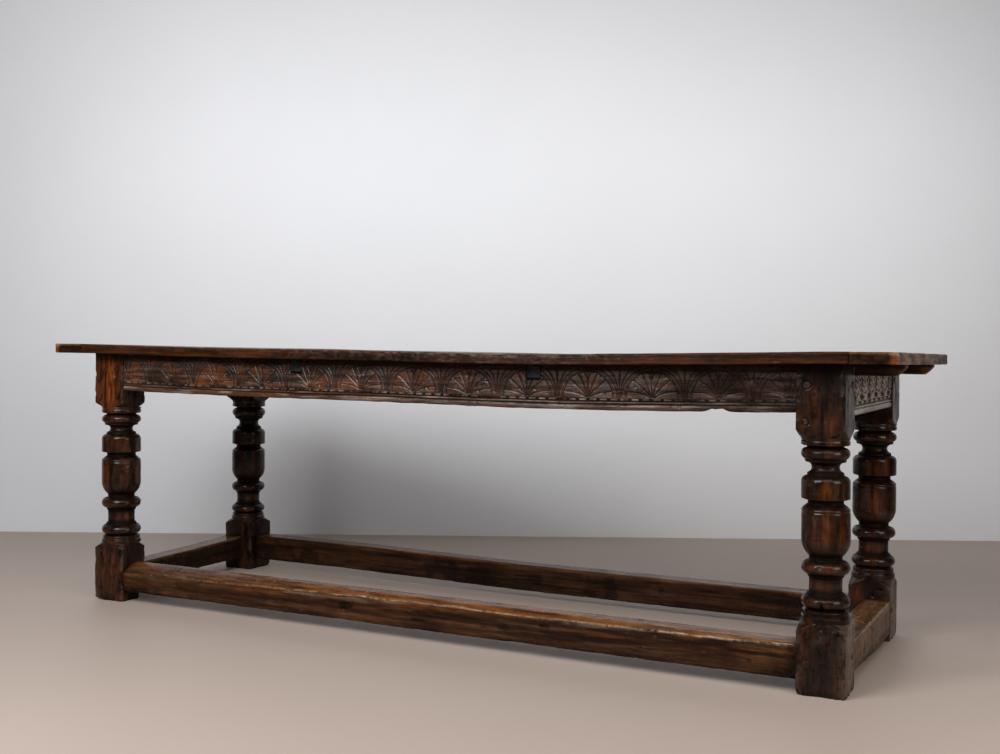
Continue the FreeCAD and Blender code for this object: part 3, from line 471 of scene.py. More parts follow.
def buildLeg(name, seed):
    shape, plan = legShape, legs[name]
    low, high = cornersOf(name)
    cx, cy = (low[:2] + high[:2]) / 2
    half = (high[0] - low[0]) / 2
    levels = np.linspace(low[2], high[2], int((high[2] - low[2]) / shape["rowStep"]) + 1)
    profile = turnedProfile(name, levels)
    profile = np.convolve(np.pad(profile, 1, mode="edge"), (0.2, 0.6, 0.2), mode="valid")
    turnedTo, blockFrom = (half * share for share in shape["blockFrom"])
    squared = ramp(profile, turnedTo, blockFrom)[:, None]  # 1 at the blocks and their shoulders
    profile = np.where(profile < turnedTo, profile * plan.get("swell", 1), profile)
    n = shape["columns"]
    u = (np.arange(n) + 0.5) / n * 2 - 1
    quarter = math.pi / 4 * (1 + np.sign(u) * np.abs(u) ** 1.25)
    angle = np.concatenate([quarter + k * math.pi / 2 for k in range(4)])
    theta, z = np.meshgrid(angle, levels)
    outline = np.minimum(squareRadius(theta, half, shape["arris"]), profile[:, None])
    spot = np.stack([cx + outline * np.cos(theta), cy + outline * np.sin(theta), z], axis=-1)
    rounding = shape["arris"] * (1.3 + 0.9 * cloud(spot, 0.03, seed))
    more, upTo = shape["floorRound"]
    rounding += more * np.clip(1 - z / upTo, 0, 1) ** 2
    square = squareRadius(theta, half, np.clip(rounding, *shape["roundLimits"]))
    square = np.where(squared > 0, square, 1)
    turned = profile[:, None] + shape["waver"] * cloud(spot, (0.03, 0.03, 0.008), seed + 3)
    soft = shape["soft"]
    radius = softMin(square, turned, soft)
    block = ramp(turned - square, -soft, soft)  # 1 on the flat faces of the blocks
    radius -= shape["planed"] * (1 + cloud(spot, (0.02, 0.02, 0.15), seed + 5)) * block
    dents = np.clip(cloud(spot, 0.011, seed + 7) - 0.6, 0, 1)
    radius -= shape["dents"] * dents * (0.15 + 0.85 * block)
    edgeChips = np.clip(cloud(spot, (0.012, 0.012, 0.02), seed + 9) - 0.35, 0, 1)
    cornerness = bump(np.abs(np.cos(theta)), np.abs(np.sin(theta)), 0.16)
    radius -= shape["chips"] * edgeChips * cornerness * squared
    footWear, footHeight = shape["footWear"]
    foot = np.clip(1 - z / footHeight, 0, 1) ** 2
    rot = 0.5 + 0.7 * cloud(spot, (0.012, 0.012, 0.05), seed + 11, 3)
    radius -= footWear * foot * rot
    front = np.clip(-np.sin(theta), 0, 1) ** 2
    across = spot[..., 0] - cx
    gash, crumbled = np.zeros_like(z), np.zeros_like(z)
    ragged = np.clip(0.8 + 0.8 * cloud(spot, 0.012, seed + 13), 0, 1.6)
    for dx, level, wide, tall, deep in plan["marks"]:
        here = bump(across, dx, wide) * bump(z, level, tall) * (front > 0.2)
        radius -= deep * here * ragged
        if deep > shape["darkGash"]:
            gash = np.maximum(gash, here * np.clip(ragged, 0.4, 1))
        else:
            crumbled = np.maximum(crumbled, here * np.clip(ragged - 0.5, 0, 1))
    shift = follow(z, plan["lean"])
    # the wood is crushed and dark round each peg
    crushed = np.zeros_like(z)
    holeEdge, pegEdge, hollowDepth = shape["pegHollow"]
    for pegLow, pegHigh in legPegs:
        middle = (pegLow + pegHigh) / 2
        if abs(middle[0] - cx) > half or abs(middle[1] - cy) > half:
            continue
        axis = int(np.argmax(pegHigh - pegLow))
        side = np.sign(middle[axis])
        facing = (np.cos(theta) if axis == 0 else np.sin(theta)) * side > 0.6
        away = np.hypot(spot[..., 1 - axis] - middle[1 - axis], z - middle[2])
        away += 0.0008 * cloud(spot, 0.006, seed + 15)
        strong = 0.8 if axis == 1 and middle[2] > 0.3 else 0.2
        hollow = ramp(away, holeEdge, pegEdge) * facing * strong
        radius -= hollowDepth * hollow
        crushed = np.maximum(crushed, hollow)
    rise = follow(z, plan.get("rise", [(0, 0)]))
    slim = 1 - (1 - follow(z, plan.get("slim", [(0, 1)]))) * squared
    deepness = radius * np.sin(theta)
    deepness = np.where(deepness > 0, deepness * slim, deepness)
    rings = np.stack([cx + shift + radius * np.cos(theta), cy + deepness, z + rise], axis=-1)

    thin = np.minimum(profile, half)
    reach = int(shape["sunkReach"] / shape["rowStep"])
    sunk = np.clip((runningMax(thin, reach) - thin) / shape["sunkReach"], 0, 1)
    cove, coveReach, coveShare = shape["cove"]
    sunk = (sunk * (1 - coveShare * bump(levels, cove, coveReach)))[:, None]
    proud = (1 - squared) * (1 - sunk)  # 1 on the turned swellings
    streaks = cloud(spot, (0.016, 0.016, 0.11), seed + 17, 3)
    blots = cloud(spot, (0.006, 0.006, 0.012), seed + 18, 3)
    glow, film = np.zeros_like(z), np.zeros_like(z)
    for dx, level, wide, tall, amount in plan["glow"]:
        here = np.abs(amount) * bump(across, dx, wide) * bump(z, level, tall)
        if amount > 0:
            glow = np.maximum(glow, here)
        else:
            film = np.maximum(film, here)
    glow = glow * front * (1 - film) * np.clip(1.05 - 0.6 * np.maximum(streaks, blots), 0, 1.1)
    dirtAndShade = 0.95 * sunk + 0.95 * ramp(gash, 0.2, 0.7) + 0.55 * crushed
    dirtAndShade += (squared * np.interp(z, (0.1, 0.6), (0.2, 0.45)) * ramp(streaks, 0.05, 0.6)
             + 0.3 * blotchy(spot, 0.05, seed + 19, 0.1, 0.8, octaves=2))
    dirtAndShade += 0.45 * ramp(blots, 0.25, 0.7) * squared
    dirtAndShade = dirtAndShade * (1 - 0.85 * np.clip(glow, 0, 1)) + 0.35 * foot
    # painted shadow at the top of each block under the table top, then the dark films in front
    dirtAndShade = dirtAndShade + squared * ramp(z, 0.71, 0.74) * 0.6 + film * front
    wear = 0.3 * cornerness * squared * patchy(spot, 0.02, seed + 21, 0.35, 1.1)
    wear += 0.12 * proud * patchy(spot, (0.012, 0.012, 0.03), seed + 23)
    warm = glow + 0.3 * proud * patchy(spot, (0.02, 0.02, 0.12), seed + 25, octaves=2)
    warm += 0.15 * squared * patchy(spot, (0.02, 0.02, 0.1), seed + 27, octaves=2)
    wear += 0.6 * crumbled
    dryAndLit = np.interp(z, (0.15, 0.6), (0.75, 0.1))  # lighter on the end faces, most of all at the feet: dry wood and painted light
    wear += dryAndLit * squared * np.clip(np.cos(theta) * np.sign(cx), 0, 1) ** 4
    polish = np.broadcast_to(proud, z.shape)
    skin = loft(rings, {"wear": wear, "dirtAndShade": dirtAndShade, "warm": warm, "polish": polish})
    return addPiece(name, skin, woods["leg"], [name])


legPegs = sum((solidBoxes(group) for group in ("frieze_pegs", "stretcher_pegs", "leg_plugs")), [])
for seed, legName in enumerate(legs):
    buildLeg(legName, 100 + 40 * seed)
print("legs turned")


# boards: sections set along X or Y and skinned
endSoft = 0.0012


def section(count, across, up, rounds, arcSteps, sideSteps, flatten):
    # points from the low left corner round: four rounded arrises, which flatten turns towards
    # a slope, and the flats between them
    across, up = ([np.broadcast_to(v, count) for v in pair] for pair in (across, up))
    corners = ((across[0], up[0], 1, 1), (across[1], up[0], -1, 1),
               (across[1], up[1], -1, -1), (across[0], up[1], 1, -1))
    share = np.linspace(0, 1, arcSteps + 1)[None, :, None]
    arcs = []
    for k, (p, q, inP, inQ) in enumerate(corners):
        rp, rq = (np.broadcast_to(r, count) for r in rounds[k])
        turn = math.pi + k * math.pi / 2 + np.linspace(0, math.pi / 2, arcSteps + 1)
        arc = np.stack([(p + inP * rp)[:, None] + rp[:, None] * np.cos(turn),
                        (q + inQ * rq)[:, None] + rq[:, None] * np.sin(turn)], axis=-1)
        slope = arc[:, :1] + (arc[:, -1:] - arc[:, :1]) * share
        arcs.append(arc + (slope - arc) * flatten[k])
    rows = []
    for k in range(4):
        rows.append(arcs[k])
        start, stop = arcs[k][:, -1:], arcs[(k + 1) % 4][:, :1]
        t = np.arange(1, sideSteps[k % 2])[None, :, None] / sideSteps[k % 2]
        rows.append(start + (stop - start) * t)
    return np.concatenate(rows, axis=1)


def placed(axis, stations, flat):
    run = np.broadcast_to(stations[:, None], flat.shape[:2])
    order = (run, flat[..., 0], flat[..., 1]) if axis == "X" else (flat[..., 0], run, flat[..., 1])
    return np.stack(order, axis=-1)


def batter(flat, rings, depth, cell, seed, bias):
    # sinks the skin of a board here and there
    tangent = np.roll(flat, -1, axis=1) - np.roll(flat, 1, axis=1)
    length = np.maximum(np.linalg.norm(tangent, axis=-1, keepdims=True), 1e-9)
    outward = np.stack([tangent[..., 1], -tangent[..., 0]], axis=-1) / length
    sink = depth * np.clip(cloud(rings, cell, seed, 3) - bias, 0, None)
    return flat - outward * sink[..., None]


def stationsFor(low, high, step):
    count = max(int((high - low) / step * fine), 12)
    inner = np.linspace(low + endSoft, high - endSoft, count)
    return np.concatenate([[low], inner, [high]])


def closeEnds(flat):
    # draws the first and last section in, so that the end arrises are soft
    flat = flat.copy()
    for end in (0, -1):
        centre = flat[end].mean(axis=0)
        reach = np.abs(flat[end] - centre).max(axis=0)
        flat[end] = centre + (flat[end] - centre) * (1 - endSoft / reach)
    return flat


def lineOf(stations, seed):
    # places along a board for noise that differs from board to board
    count = len(stations)
    return np.stack([stations, np.full(count, seed * 1.0), np.zeros(count)], axis=-1)


def board(axis, stations, across, up, rounds, steps, knocks, flatten=(0, 0, 0, 0), softEnds=True):
    # sections along a board, its skin sunk by each knock: depth, cell, seed and bias
    flat = section(len(stations), across, up, rounds, *steps, flatten)
    rings = placed(axis, stations, flat)
    for knock in knocks:
        flat = batter(flat, rings, *knock)
    return placed(axis, stations, closeEnds(flat) if softEnds else flat)


# stretchers: low rails, the front one worn to a slope along its upper edge by feet
stretcherShape = {
    "arris": 0.003, "endProud": 0.004,
    # how far the rail runs into the legs, spacing, rows up a side, flatness of the worn edge
    "X": {"past": (0.016, 0.006), "step": 0.0034, "rows": 18, "flat": 0.55,
          "grain": (0.16, 0.009, 0.009)},
    "Y": {"past": (0.03, 0.004), "step": 0.0022, "rows": 30, "flat": 0.2,
          "grain": (0.009, 0.16, 0.009)},
}
straight = [(0, 0.0)]
endWear = [(-0.251, 0.003), (0, 0.006), (0.251, 0.004)]
stretchers = {
    # drift: how far the upper and lower edges wander from the straight, left as the tree grew
    "front_stretcher": {
        "axis": "X", "outer": -1, "slope": 2.3, "toil": 1.0, "seed": 301, "wood": "stretcher",
        "wear": [(-1.003, 0.034), (-0.8, 0.027), (-0.6, 0.021), (-0.45, 0.018), (-0.1, 0.0145),
                 (0.25, 0.013), (0.6, 0.011), (0.85, 0.008), (1.003, 0.004)],
        "drift": (straight, straight),
        "knots": [(-0.204, 0.0745, 0.03, 0.012), (0.024, 0.08, 0.027, 0.0045),
                  (0.026, 0.06, 0.03, 0.0055), (0.381, 0.0835, 0.02, 0.006)]},
    "back_stretcher": {
        "axis": "X", "outer": 1, "slope": 2.0, "toil": 0.5, "seed": 331, "wood": "stretcher",
        "wear": [(-1.003, 0.006), (0, 0.011), (1.003, 0.006)],
        "drift": ([(-1.0, 0.0), (-0.6, -0.001), (0, -0.01), (1.0, -0.012)],) * 2},
    "left_end_stretcher": {
        "axis": "Y", "outer": -1, "slope": 1.5, "toil": 0.5, "seed": 361, "wood": "litEndStretcher",
        # painted shade on the left end stretcher
        "wear": endWear, "paintedShade": 0.55,
        "drift": ([(-0.251, -0.012), (0, -0.006), (0.251, 0.003)],
                  [(-0.251, 0.008), (0, 0.01), (0.251, 0.015)])},
    "right_end_stretcher": {
        "axis": "Y", "outer": 1, "slope": 1.5, "toil": 0.5, "seed": 391, "wood": "litEndStretcher",
        "wear": endWear, "cracks": [(0.05, 1.9, 0.013), (-0.05, 2.2, 0.021)],
        "drift": (straight, [(-0.251, 0.014), (-0.06, 0.003), (0.05, -0.0035), (0.15, -0.004),
                             (0.251, 0.0)])},
}


def buildStretcher(name, plan):
    low, high = cornersOf(name)
    axis, outer, toil, seed = (plan[key] for key in ("axis", "outer", "toil", "seed"))
    way = stretcherShape[axis]
    grain = way["grain"]
    run = 0 if axis == "X" else 1
    side = 1 - run
    legLow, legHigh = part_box("front_right_leg")
    reach = legLow[0] if axis == "X" else -legHigh[1]
    stations = stationsFor(-(reach + way["past"][0]), reach + way["past"][1], way["step"])
    line = lineOf(stations, seed)
    worn = follow(stations, plan["wear"]) * (1 + 0.25 * toil * cloud(line, 0.13, seed, 3))
    worn = np.clip(worn + 0.0016 * toil * cloud(line, 0.03, seed + 1), 0.002, None)
    rounds = []
    for corner in range(4):
        small = stretcherShape["arris"] * (1.1 + 0.7 * cloud(line, 0.05, seed + 2 + corner))
        rounds.append((np.clip(small, 0.0012, None),) * 2)
    wornCorner, otherCorner = (3, 2) if outer < 0 else (2, 3)
    rounds[wornCorner] = (np.clip(worn * plan["slope"], 0.003, 0.05), worn)
    rounds[otherCorner] = (np.clip(worn * 0.35, 0.002, None),) * 2
    flatten = [0, 0, 0, 0]
    flatten[wornCorner] = way["flat"]
    across = [low[side], high[side]]
    if axis == "Y":
        across[0 if outer < 0 else 1] += outer * stretcherShape["endProud"]
    upper, lower = (level + follow(stations, drift)
                    for level, drift in zip((high[2], low[2]), plan["drift"]))
    knocks = ((0.0009 * toil, 0.03, seed + 11, -0.3), (0.001 * toil, grain, seed + 12, -0.1),
              (0.005 * toil, 0.012, seed + 13, 0.6))
    steps = (11, (12, way["rows"]))
    rings = board(axis, stations, across, (lower, upper), rounds, steps, knocks, flatten)
    upper, lower = upper[:, None], lower[:, None]

    along, z = rings[..., run], rings[..., 2]
    height = (z - lower) / (upper - lower)
    depth = (rings[..., side] - low[side]) / (high[side] - low[side])
    outside = 1 - depth if outer < 0 else depth
    rise = z - (upper - 0.85 * worn[:, None])  # over the worn arris
    top = ramp(rise, -0.001, 0.003) * ramp(height, 0.55, 0.7)
    face = ramp(outside, 0.9, 0.97)
    scraped = patchy(rings, grain, seed + 15, 0.35, 1.2)
    wear = bump(rise, 0, 0.0014) * ramp(outside, 0.8, 0.95)
    wear = wear * patchy(rings, 0.009, seed + 16, 0.75)
    scuffed = np.interp(along, (0.5, 0.8), (0.25, 0.1)) if axis == "X" else 0.4
    wear += scuffed * bump(rise, -0.006, 0.008) * face * ramp(scraped, 0.5, 1.0)
    wear = wear * (0.4 + 0.6 * toil)
    wear += 0.16 * toil * top * scraped + 0.1 * blotchy(rings, grain, seed + 19, 0.2, 0.9)
    dirtAndShade = 0.6 * ramp(np.abs(along), reach - 0.03, reach)
    dirtAndShade += 0.9 * ramp(np.abs(along), reach - 0.007, reach - 0.002)
    dirtAndShade += (1 - toil) * ramp(outside, 0.1, 0.03) * ramp(height, 0.97, 0.8)
    dirtAndShade += 0.5 * ramp(height, 0.25, 0.0) * patchy(rings, grain, seed + 21, 0.5, octaves=2)
    dirtAndShade += 0.4 * blotchy(rings, grain, seed + 23, 0.15, 0.8) * (1 - 0.7 * top)
    dirtAndShade += 0.4 * blotchy(rings, 0.06, seed + 24, 0.2, 0.8) * (1 - 0.7 * top)
    # painted shade below the top edge where a plan asks for it
    dirtAndShade += plan.get("paintedShade", 0) * ramp(height, 0.97, 0.85)
    for place, level, wide, tall in plan.get("knots", ()):
        knot = np.hypot((along - place) / wide, (z - level) / tall)
        dirtAndShade += face * ramp(knot + 0.25 * cloud(rings, 0.008, seed + 31, 3), 1.1, 0.5)
    for place, slope, length in plan.get("cracks", ()):
        drop = upper - 0.005 - z
        slant = (along - place - slope * drop) / math.hypot(1, slope)
        split = bump(slant, 0, 0.0019) * ramp(outside, 0.85, 0.95)
        split = split * ramp(drop, -0.002, 0.001) * ramp(drop, length, length - 0.004)
        dirtAndShade += 1.6 * split
        wear = wear * (1 - split)
    trodden = 1
    if axis == "X":
        trodden = np.interp(along, (-1.0, -0.85, -0.55, -0.2), (0.1, 0.25, 0.6, 1.0))
    warm = top * toil * trodden * patchy(rings, grain, seed + 25, 0.75, 0.6)
    wear = wear * (0.3 + 0.7 * trodden)
    warm += 0.6 * toil * patchy(rings, grain, seed + 27, 0.2) * ramp(height, 0.1, 0.6)
    skin = loft(rings, {"wear": wear, "dirtAndShade": dirtAndShade, "warm": warm, "polish": top})
    return addPiece(name, skin, woods[plan["wood"]], [name])


for stretcherName, stretcherPlan in stretchers.items():
    buildStretcher(stretcherName, stretcherPlan)
print("stretchers worn")

# planks: the front arris is rubbed away in the middle of the table
plankShape = {
    "step": 0.0042, "sink": 0.0003, "arris": 0.0045, "tight": 0.0009, "gap": 0.00015,
    "endGap": 0.0003, "grain": (0.14, 0.006, 0.006), "edge": (0.385, 0.408),
    "frontArris": [(-1.128, 0.003), (-0.6, 0.0035), (-0.2, 0.006), (0.02, 0.009), (0.2, 0.012),
                   (0.42, 0.01), (0.65, 0.005), (1.128, 0.004)],
    "rubbed": [(-1.128, 0.1), (-0.6, 0.2), (-0.35, 0.55), (0.0, 0.9), (0.3, 1.0), (0.5, 0.7),
               (0.65, 0.15), (1.128, 0.08)],
}


def buildPlank(name, seed):
    low, high = cornersOf(name)
    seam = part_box("right_cleat")[0][0] - plankShape["endGap"]
    stations = stationsFor(-seam, seam, plankShape["step"])
    ragged = 1 + 0.4 * cloud(lineOf(stations, seed), 0.05, seed, 3)
    tight = (plankShape["tight"],) * 2
    outer = np.clip(plankShape["arris"] * ragged, 0.002, None)
    front = np.clip(follow(stations, plankShape["frontArris"]) * ragged, 0.002, None)
    rounds = [tight] * 4
    if name == "top_plank_front":
        rounds = [(outer * 0.8,) * 2, tight, tight, (front * 1.5, front)]
    if name == "top_plank_back":
        rounds = [tight, (outer * 0.8,) * 2, (outer, outer), tight]
    across = (low[1] + plankShape["gap"], high[1] - plankShape["gap"])
    levels = (low[2], high[2] - plankShape["sink"])
    knocks = ((0.0006, (0.12, 0.05, 0.05), seed + 3, -0.2),
              (0.0005, (0.14, 0.005, 0.005), seed + 4, 0.1),
              (0.0022, (0.016, 0.01, 0.01), seed + 5, 0.6))
    rings = board("X", stations, across, levels, rounds, (8, (36, 8)), knocks, softEnds=False)
    level = rings[..., 2].copy()
    x = rings[..., 0]
    rings[..., 2] += sagAt(x) + tiltAt(x, rings[..., 1])
    side = {"top_plank_front": -1, "top_plank_back": 1}.get(name, 0)
    edge = ramp(rings[..., 1] * side, *plankShape["edge"])
    upper = ramp(level, low[2] + 0.012, high[2] - 0.003)
    rubbed = follow(x, plankShape["rubbed"])
    grain = plankShape["grain"]
    # lighter upper front edge where rubbed: rubbed wood and painted reflection
    wear = edge * upper * rubbed * patchy(rings, (0.012, 0.006, 0.006), seed + 7, 0.25, 1.3)
    wear += 0.35 * edge * rubbed * patchy(rings, (0.009, 0.005, 0.005), seed + 9, 0.1, 1.2, 2)
    wear += 0.12 * patchy(rings, (0.3, 0.06, 0.06), seed + 11) * (1 - edge)
    dirtAndShade = 0.45 * blotchy(rings, grain, seed + 13, 0.05, 0.8) * (1 - 0.6 * edge)
    dirtAndShade += 0.4 * blotchy(rings, (0.09, 0.06, 0.06), seed + 15, 0.2, 0.9)
    dirtAndShade += 0.7 * ramp(np.abs(x), seam - 0.003, seam)
    dirtAndShade += 0.7 * edge * ramp(level, low[2] + 0.004, low[2])
    warm = 0.5 * patchy(rings, grain, seed + 17, 0.1) * (1 - 0.6 * np.clip(rubbed, 0, 1))
    arris = edge * ramp(level, high[2] - 0.006, high[2] - 0.002)
    warm = np.maximum(warm, 0.8 * arris)
    warm = np.maximum(warm, 0.45 * edge * ramp(level, low[2] + 0.013, low[2] + 0.005))
    dirtAndShade = dirtAndShade * (1 - 0.7 * arris)
    warm = warm * (1 - 0.6 * edge * np.clip(rubbed, 0, 1))
    # painted glints along the upper front arris
    glints = edge * ramp(level, high[2] - 0.007, high[2] - 0.002)
    glints = glints * ramp(x, -0.25, 0.1) * ramp(x, 0.62, 0.45)
    wear += glints * patchy(rings, (0.02, 0.01, 0.01), seed + 19, 0.3, 1.4)
    skin = loft(rings, {"wear": wear, "dirtAndShade": dirtAndShade, "warm": warm, "polish": 0.6 * (1 - edge)})
    return addPiece(name, skin, woods["top"], [name])


for seed, part in enumerate(("front", "middle", "back")):
    buildPlank("top_plank_" + part, 421 + 30 * seed)


# cleats: their outer faces lighter, weathered wood and painted sheen, their front corners rubbed to
# orange wood with a painted highlight
cleatShape = {"step": 0.004, "arris": 0.005, "grain": (0.006, 0.14, 0.006),
              "caps": (0.1, 0.4, 0.62, 0.78, 0.88, 0.95), "outside": (1.222, 1.229),
              "cornerX": (1.208, 1.215), "cornerY": (-0.395, -0.405)}


def buildCleat(name, seed):
    low, high = cornersOf(name)
    stations = stationsFor(low[1], high[1], cleatShape["step"])
    line = lineOf(stations, seed)[:, (1, 0, 2)]
    outer = np.clip(cleatShape["arris"] * (1 + 0.35 * cloud(line, 0.05, seed, 3)), 0.002, None)
    tight = (plankShape["tight"],) * 2
    rounds = [(outer * 0.8,) * 2, tight, tight, (outer * 1.3, outer)]
    if name == "right_cleat":
        rounds = [rounds[k] for k in (1, 0, 3, 2)]
    levels = (low[2], high[2] - plankShape["sink"])
    knocks = ((0.0007, (0.05, 0.1, 0.05), seed + 3, -0.2),
              (0.005, (0.01, 0.014, 0.01), seed + 5, 0.6))
    rings = board("Y", stations, (low[0], high[0]), levels, rounds, (8, (14, 8)), knocks)
    shrink = np.array(cleatShape["caps"])[:, None, None]
    caps = [end.mean(axis=0) + (end - end.mean(axis=0)) * shrink for end in (rings[0], rings[-1])]
    rings = np.concatenate([caps[0], rings, caps[1][::-1]])
    level = rings[..., 2].copy()
    rings[..., 2] += tiltAt(rings[..., 0], rings[..., 1])
    grain = cleatShape["grain"]
    out, y = np.abs(rings[..., 0]), rings[..., 1]
    ends = ramp(np.abs(y), high[1] - 0.006, high[1])
    outside = ramp(out, *cleatShape["outside"])
    wear = 0.2 * patchy(rings, (0.06, 0.2, 0.06), seed + 7)
    # outer end face lighter: weathered wood and painted sheen
    wear += 0.62 * outside * patchy(rings, (0.01, 0.05, 0.008), seed + 9, 0.65)
    dirtAndShade = 0.5 * blotchy(rings, grain, seed + 11, 0.05, 0.8) * (1 - 0.6 * outside)
    dirtAndShade += ends * patchy(rings, (0.02, 0.02, 0.006), seed + 13, 0.5, 0.5)
    seam = min(abs(low[0]), abs(high[0]))
    dirtAndShade += 0.7 * ramp(out, seam + 0.004, seam)
    arris = ramp(level, high[2] - 0.008, high[2] - 0.003)
    warm = 0.5 * patchy(rings, grain, seed + 15, 0.2) * (1 - outside) * (1 - 0.7 * ends)
    corner = ramp(out, *cleatShape["cornerX"]) * ramp(y, *cleatShape["cornerY"])
    wear = wear * (1 - 0.85 * ends * (1 - outside))
    warm = np.maximum(warm, np.maximum(arris * ends, corner))
    dirtAndShade = dirtAndShade * (1 - 0.9 * corner) * (1 - 0.8 * arris)
    # painted highlight near the top of each front corner, and light wear along the arris at the
    # ends
    wear += corner * bump(level, high[2] - 0.004, 0.005) + 0.25 * arris * ends
    polish = 0.4 * (1 - ends) * (1 - outside)
    skin = loft(rings, {"wear": wear, "dirtAndShade": dirtAndShade, "warm": warm, "polish": polish}, 0.0002)
    return addPiece(name, skin, woods["cleat"], [name])


buildCleat("left_cleat", 521)
buildCleat("right_cleat", 541)
print("top laid")


# bearers under the top, the end ones bevelled at the tip
bearerShape = {"crossStep": 0.008, "crossSoft": 0.0022, "endStep": 0.006, "endSoft": 0.0025,
               "nose": 0.022, "bevel": 0.02, "curve": 1.25, "noseRows": (0.0003, 0.026, 30),
               "end": (1.17, 1.21), "tip": (1.205, 1.217)}


def buildCrossBearer(name, seed):
    low, high = cornersOf(name)
    stations = stationsFor(low[1], high[1], bearerShape["crossStep"])
    rounds = [(bearerShape["crossSoft"],) * 2] * 4
    knocks = ((0.002, (0.012, 0.05, 0.012), seed + 1, 0.2),)
    rings = board("Y", stations, (low[0], high[0]), (low[2], high[2]), rounds, (4, (8, 8)), knocks)
    dirtAndShade = 0.1 + 0.3 * blotchy(rings, (0.01, 0.1, 0.01), seed + 3, 0, 0.8)
    # painted shadow under the top on the upper part of the end
    dirtAndShade += 0.9 * ramp(rings[..., 2], high[2] - 0.02, high[2] - 0.014)
    rings[..., 2] += 0.6 * sagAt(rings[..., 0])
    wear = 0.12 * patchy(rings, 0.01, seed + 5)
    skin = loft(rings, {"dirtAndShade": dirtAndShade, "wear": wear})
    return addPiece(name, skin, woods["crossBearer"], [name])


def buildEndBearer(name, seed):
    low, high = cornersOf(name)
    right = high[0] > 0
    tip = high[0] if right else low[0]
    inward = -1 if right else 1
    stations = stationsFor(low[0], high[0], bearerShape["endStep"])
    noseRows = tip + inward * np.linspace(*bearerShape["noseRows"])
    stations = np.concatenate([stations, noseRows])
    stations = np.unique(np.round(stations, 6))
    nose = bearerShape["nose"]
    past = np.clip((np.abs(stations) - (abs(tip) - nose)) / nose, 0, 1)
    lift = bearerShape["bevel"] * past ** bearerShape["curve"]
    rounds = [(bearerShape["endSoft"],) * 2] * 4
    levels = (low[2] + lift, high[2])
    knocks = ((0.0015, (0.05, 0.012, 0.012), seed + 1, 0.2),)
    rings = board("X", stations, (low[1], high[1]), levels, rounds, (4, (10, 6)), knocks)
    rings[..., 2] += tiltAt(rings[..., 0], rings[..., 1])
    out = np.abs(rings[..., 0])
    end = ramp(out, *bearerShape["end"])
    dirtAndShade = 0.2 + 0.5 * blotchy(rings, (0.1, 0.01, 0.01), seed + 3, 0, 0.8)
    warm = end * patchy(rings, 0.02, seed + 5, 0.6)
    wear = 0.3 * ramp(out, *bearerShape["tip"]) * patchy(rings, 0.01, seed + 7, 0.3)
    skin = loft(rings, {"dirtAndShade": dirtAndShade * (1 - 0.8 * end), "warm": warm, "wear": wear})
    return addPiece(name, skin, woods["bearer"], [name])


buildCrossBearer("left_cross_bearer", 561)
buildCrossBearer("right_cross_bearer", 571)
for seed, side in enumerate(("front_left", "front_right", "back_left", "back_right")):
    buildEndBearer(side + "_end_bearer", 581 + 10 * seed)
print("bearers in place")

# carved friezes: half-round arches with a palmette in each and leaves between, over a row of
# dashes and a run moulding
friezeShape = {
    "step": 0.00175, "rows": (20, 52), "plainStep": 0.008, "plainRows": (16, 10), "past": 0.004,
    "pitch": 0.1644, "firstCentre": 0.016, "baseLine": 0.0292, "lineDepth": 0.0026,
    "lineWidth": 0.00105, "archLines": ((0.93, 1.0), (0.855, 0.55), (0.8, 1.0)),
    "petalReach": 0.775, "petals": (-75, -46, -22, 0, 22, 46, 75), "fork": (0.45, 0.7, 0.75),
    "leafShares": (0.0, 0.52), "leafTop": (0.106, 0.098), "glint": 0.0009,
    "dashLine": 0.0262, "dashPitch": 0.0272, "dashDepth": 0.0022, "chip": (0.779, 0.848, 0.009),
    "notchDepth": 0.008, "notchGap": 0.001,
    # by place along the table: the carving left, fresh colour, and grime with painted shade towards
    # the right end
    "faint": [(-1.0, 0.75), (-0.3, 1.0), (0.6, 1.0), (0.92, 0.45)],
    "warmth": [(-1, 1.7), (-0.4, 1.5), (0, 0.9), (0.7, 0.5), (1, 0.1)],
    "grimeAndShade": [(-1, 0.05), (-0.3, 0.0), (0.3, 0.15), (0.6, 0.5), (1, 0.95)],
}
moulding = {"bead": 0.0135, "quirk": 0.003, "head": 0.024, "depth": 0.0034, "round": 2.2,
            "lowerMiddle": 0.0078, "lowerDepth": 0.0042, "upperDepth": 0.0026,
            "quirkEdges": (0.0021, 0.0008)}


def mouldingDepth(up):
    # depth of the run moulding, up is the height over the frieze's lower edge
    lowerQuirk = moulding["bead"] + moulding["quirk"] / 2
    upperQuirk = moulding["head"] - moulding["quirk"] / 2
    middle = moulding["lowerMiddle"]
    share = np.clip(np.abs(up - middle) / middle, 0, 1)
    lower = moulding["lowerDepth"] * share ** moulding["round"]
    middle = (lowerQuirk + upperQuirk) / 2
    share = np.clip(np.abs(up - middle) / (upperQuirk - middle), 0, 1)
    upper = moulding["upperDepth"] * share ** moulding["round"]
    depth = np.where(up < lowerQuirk, lower, np.where(up < upperQuirk, upper, 0))
    for quirk in (lowerQuirk, upperQuirk):
        cut = ramp(np.abs(up - quirk), *moulding["quirkEdges"])
        depth = np.maximum(depth, moulding["depth"] * cut)
    return depth


def overMoulding(up, depth, line, lineFrom):
    # the run moulding takes the place of the carving below its head
    run = mouldingDepth(up)
    edge = ramp(run, lineFrom, 0.0032) * (up > 0.004)
    under = up < moulding["head"]
    return np.where(under, run, depth), np.where(under, edge, line)


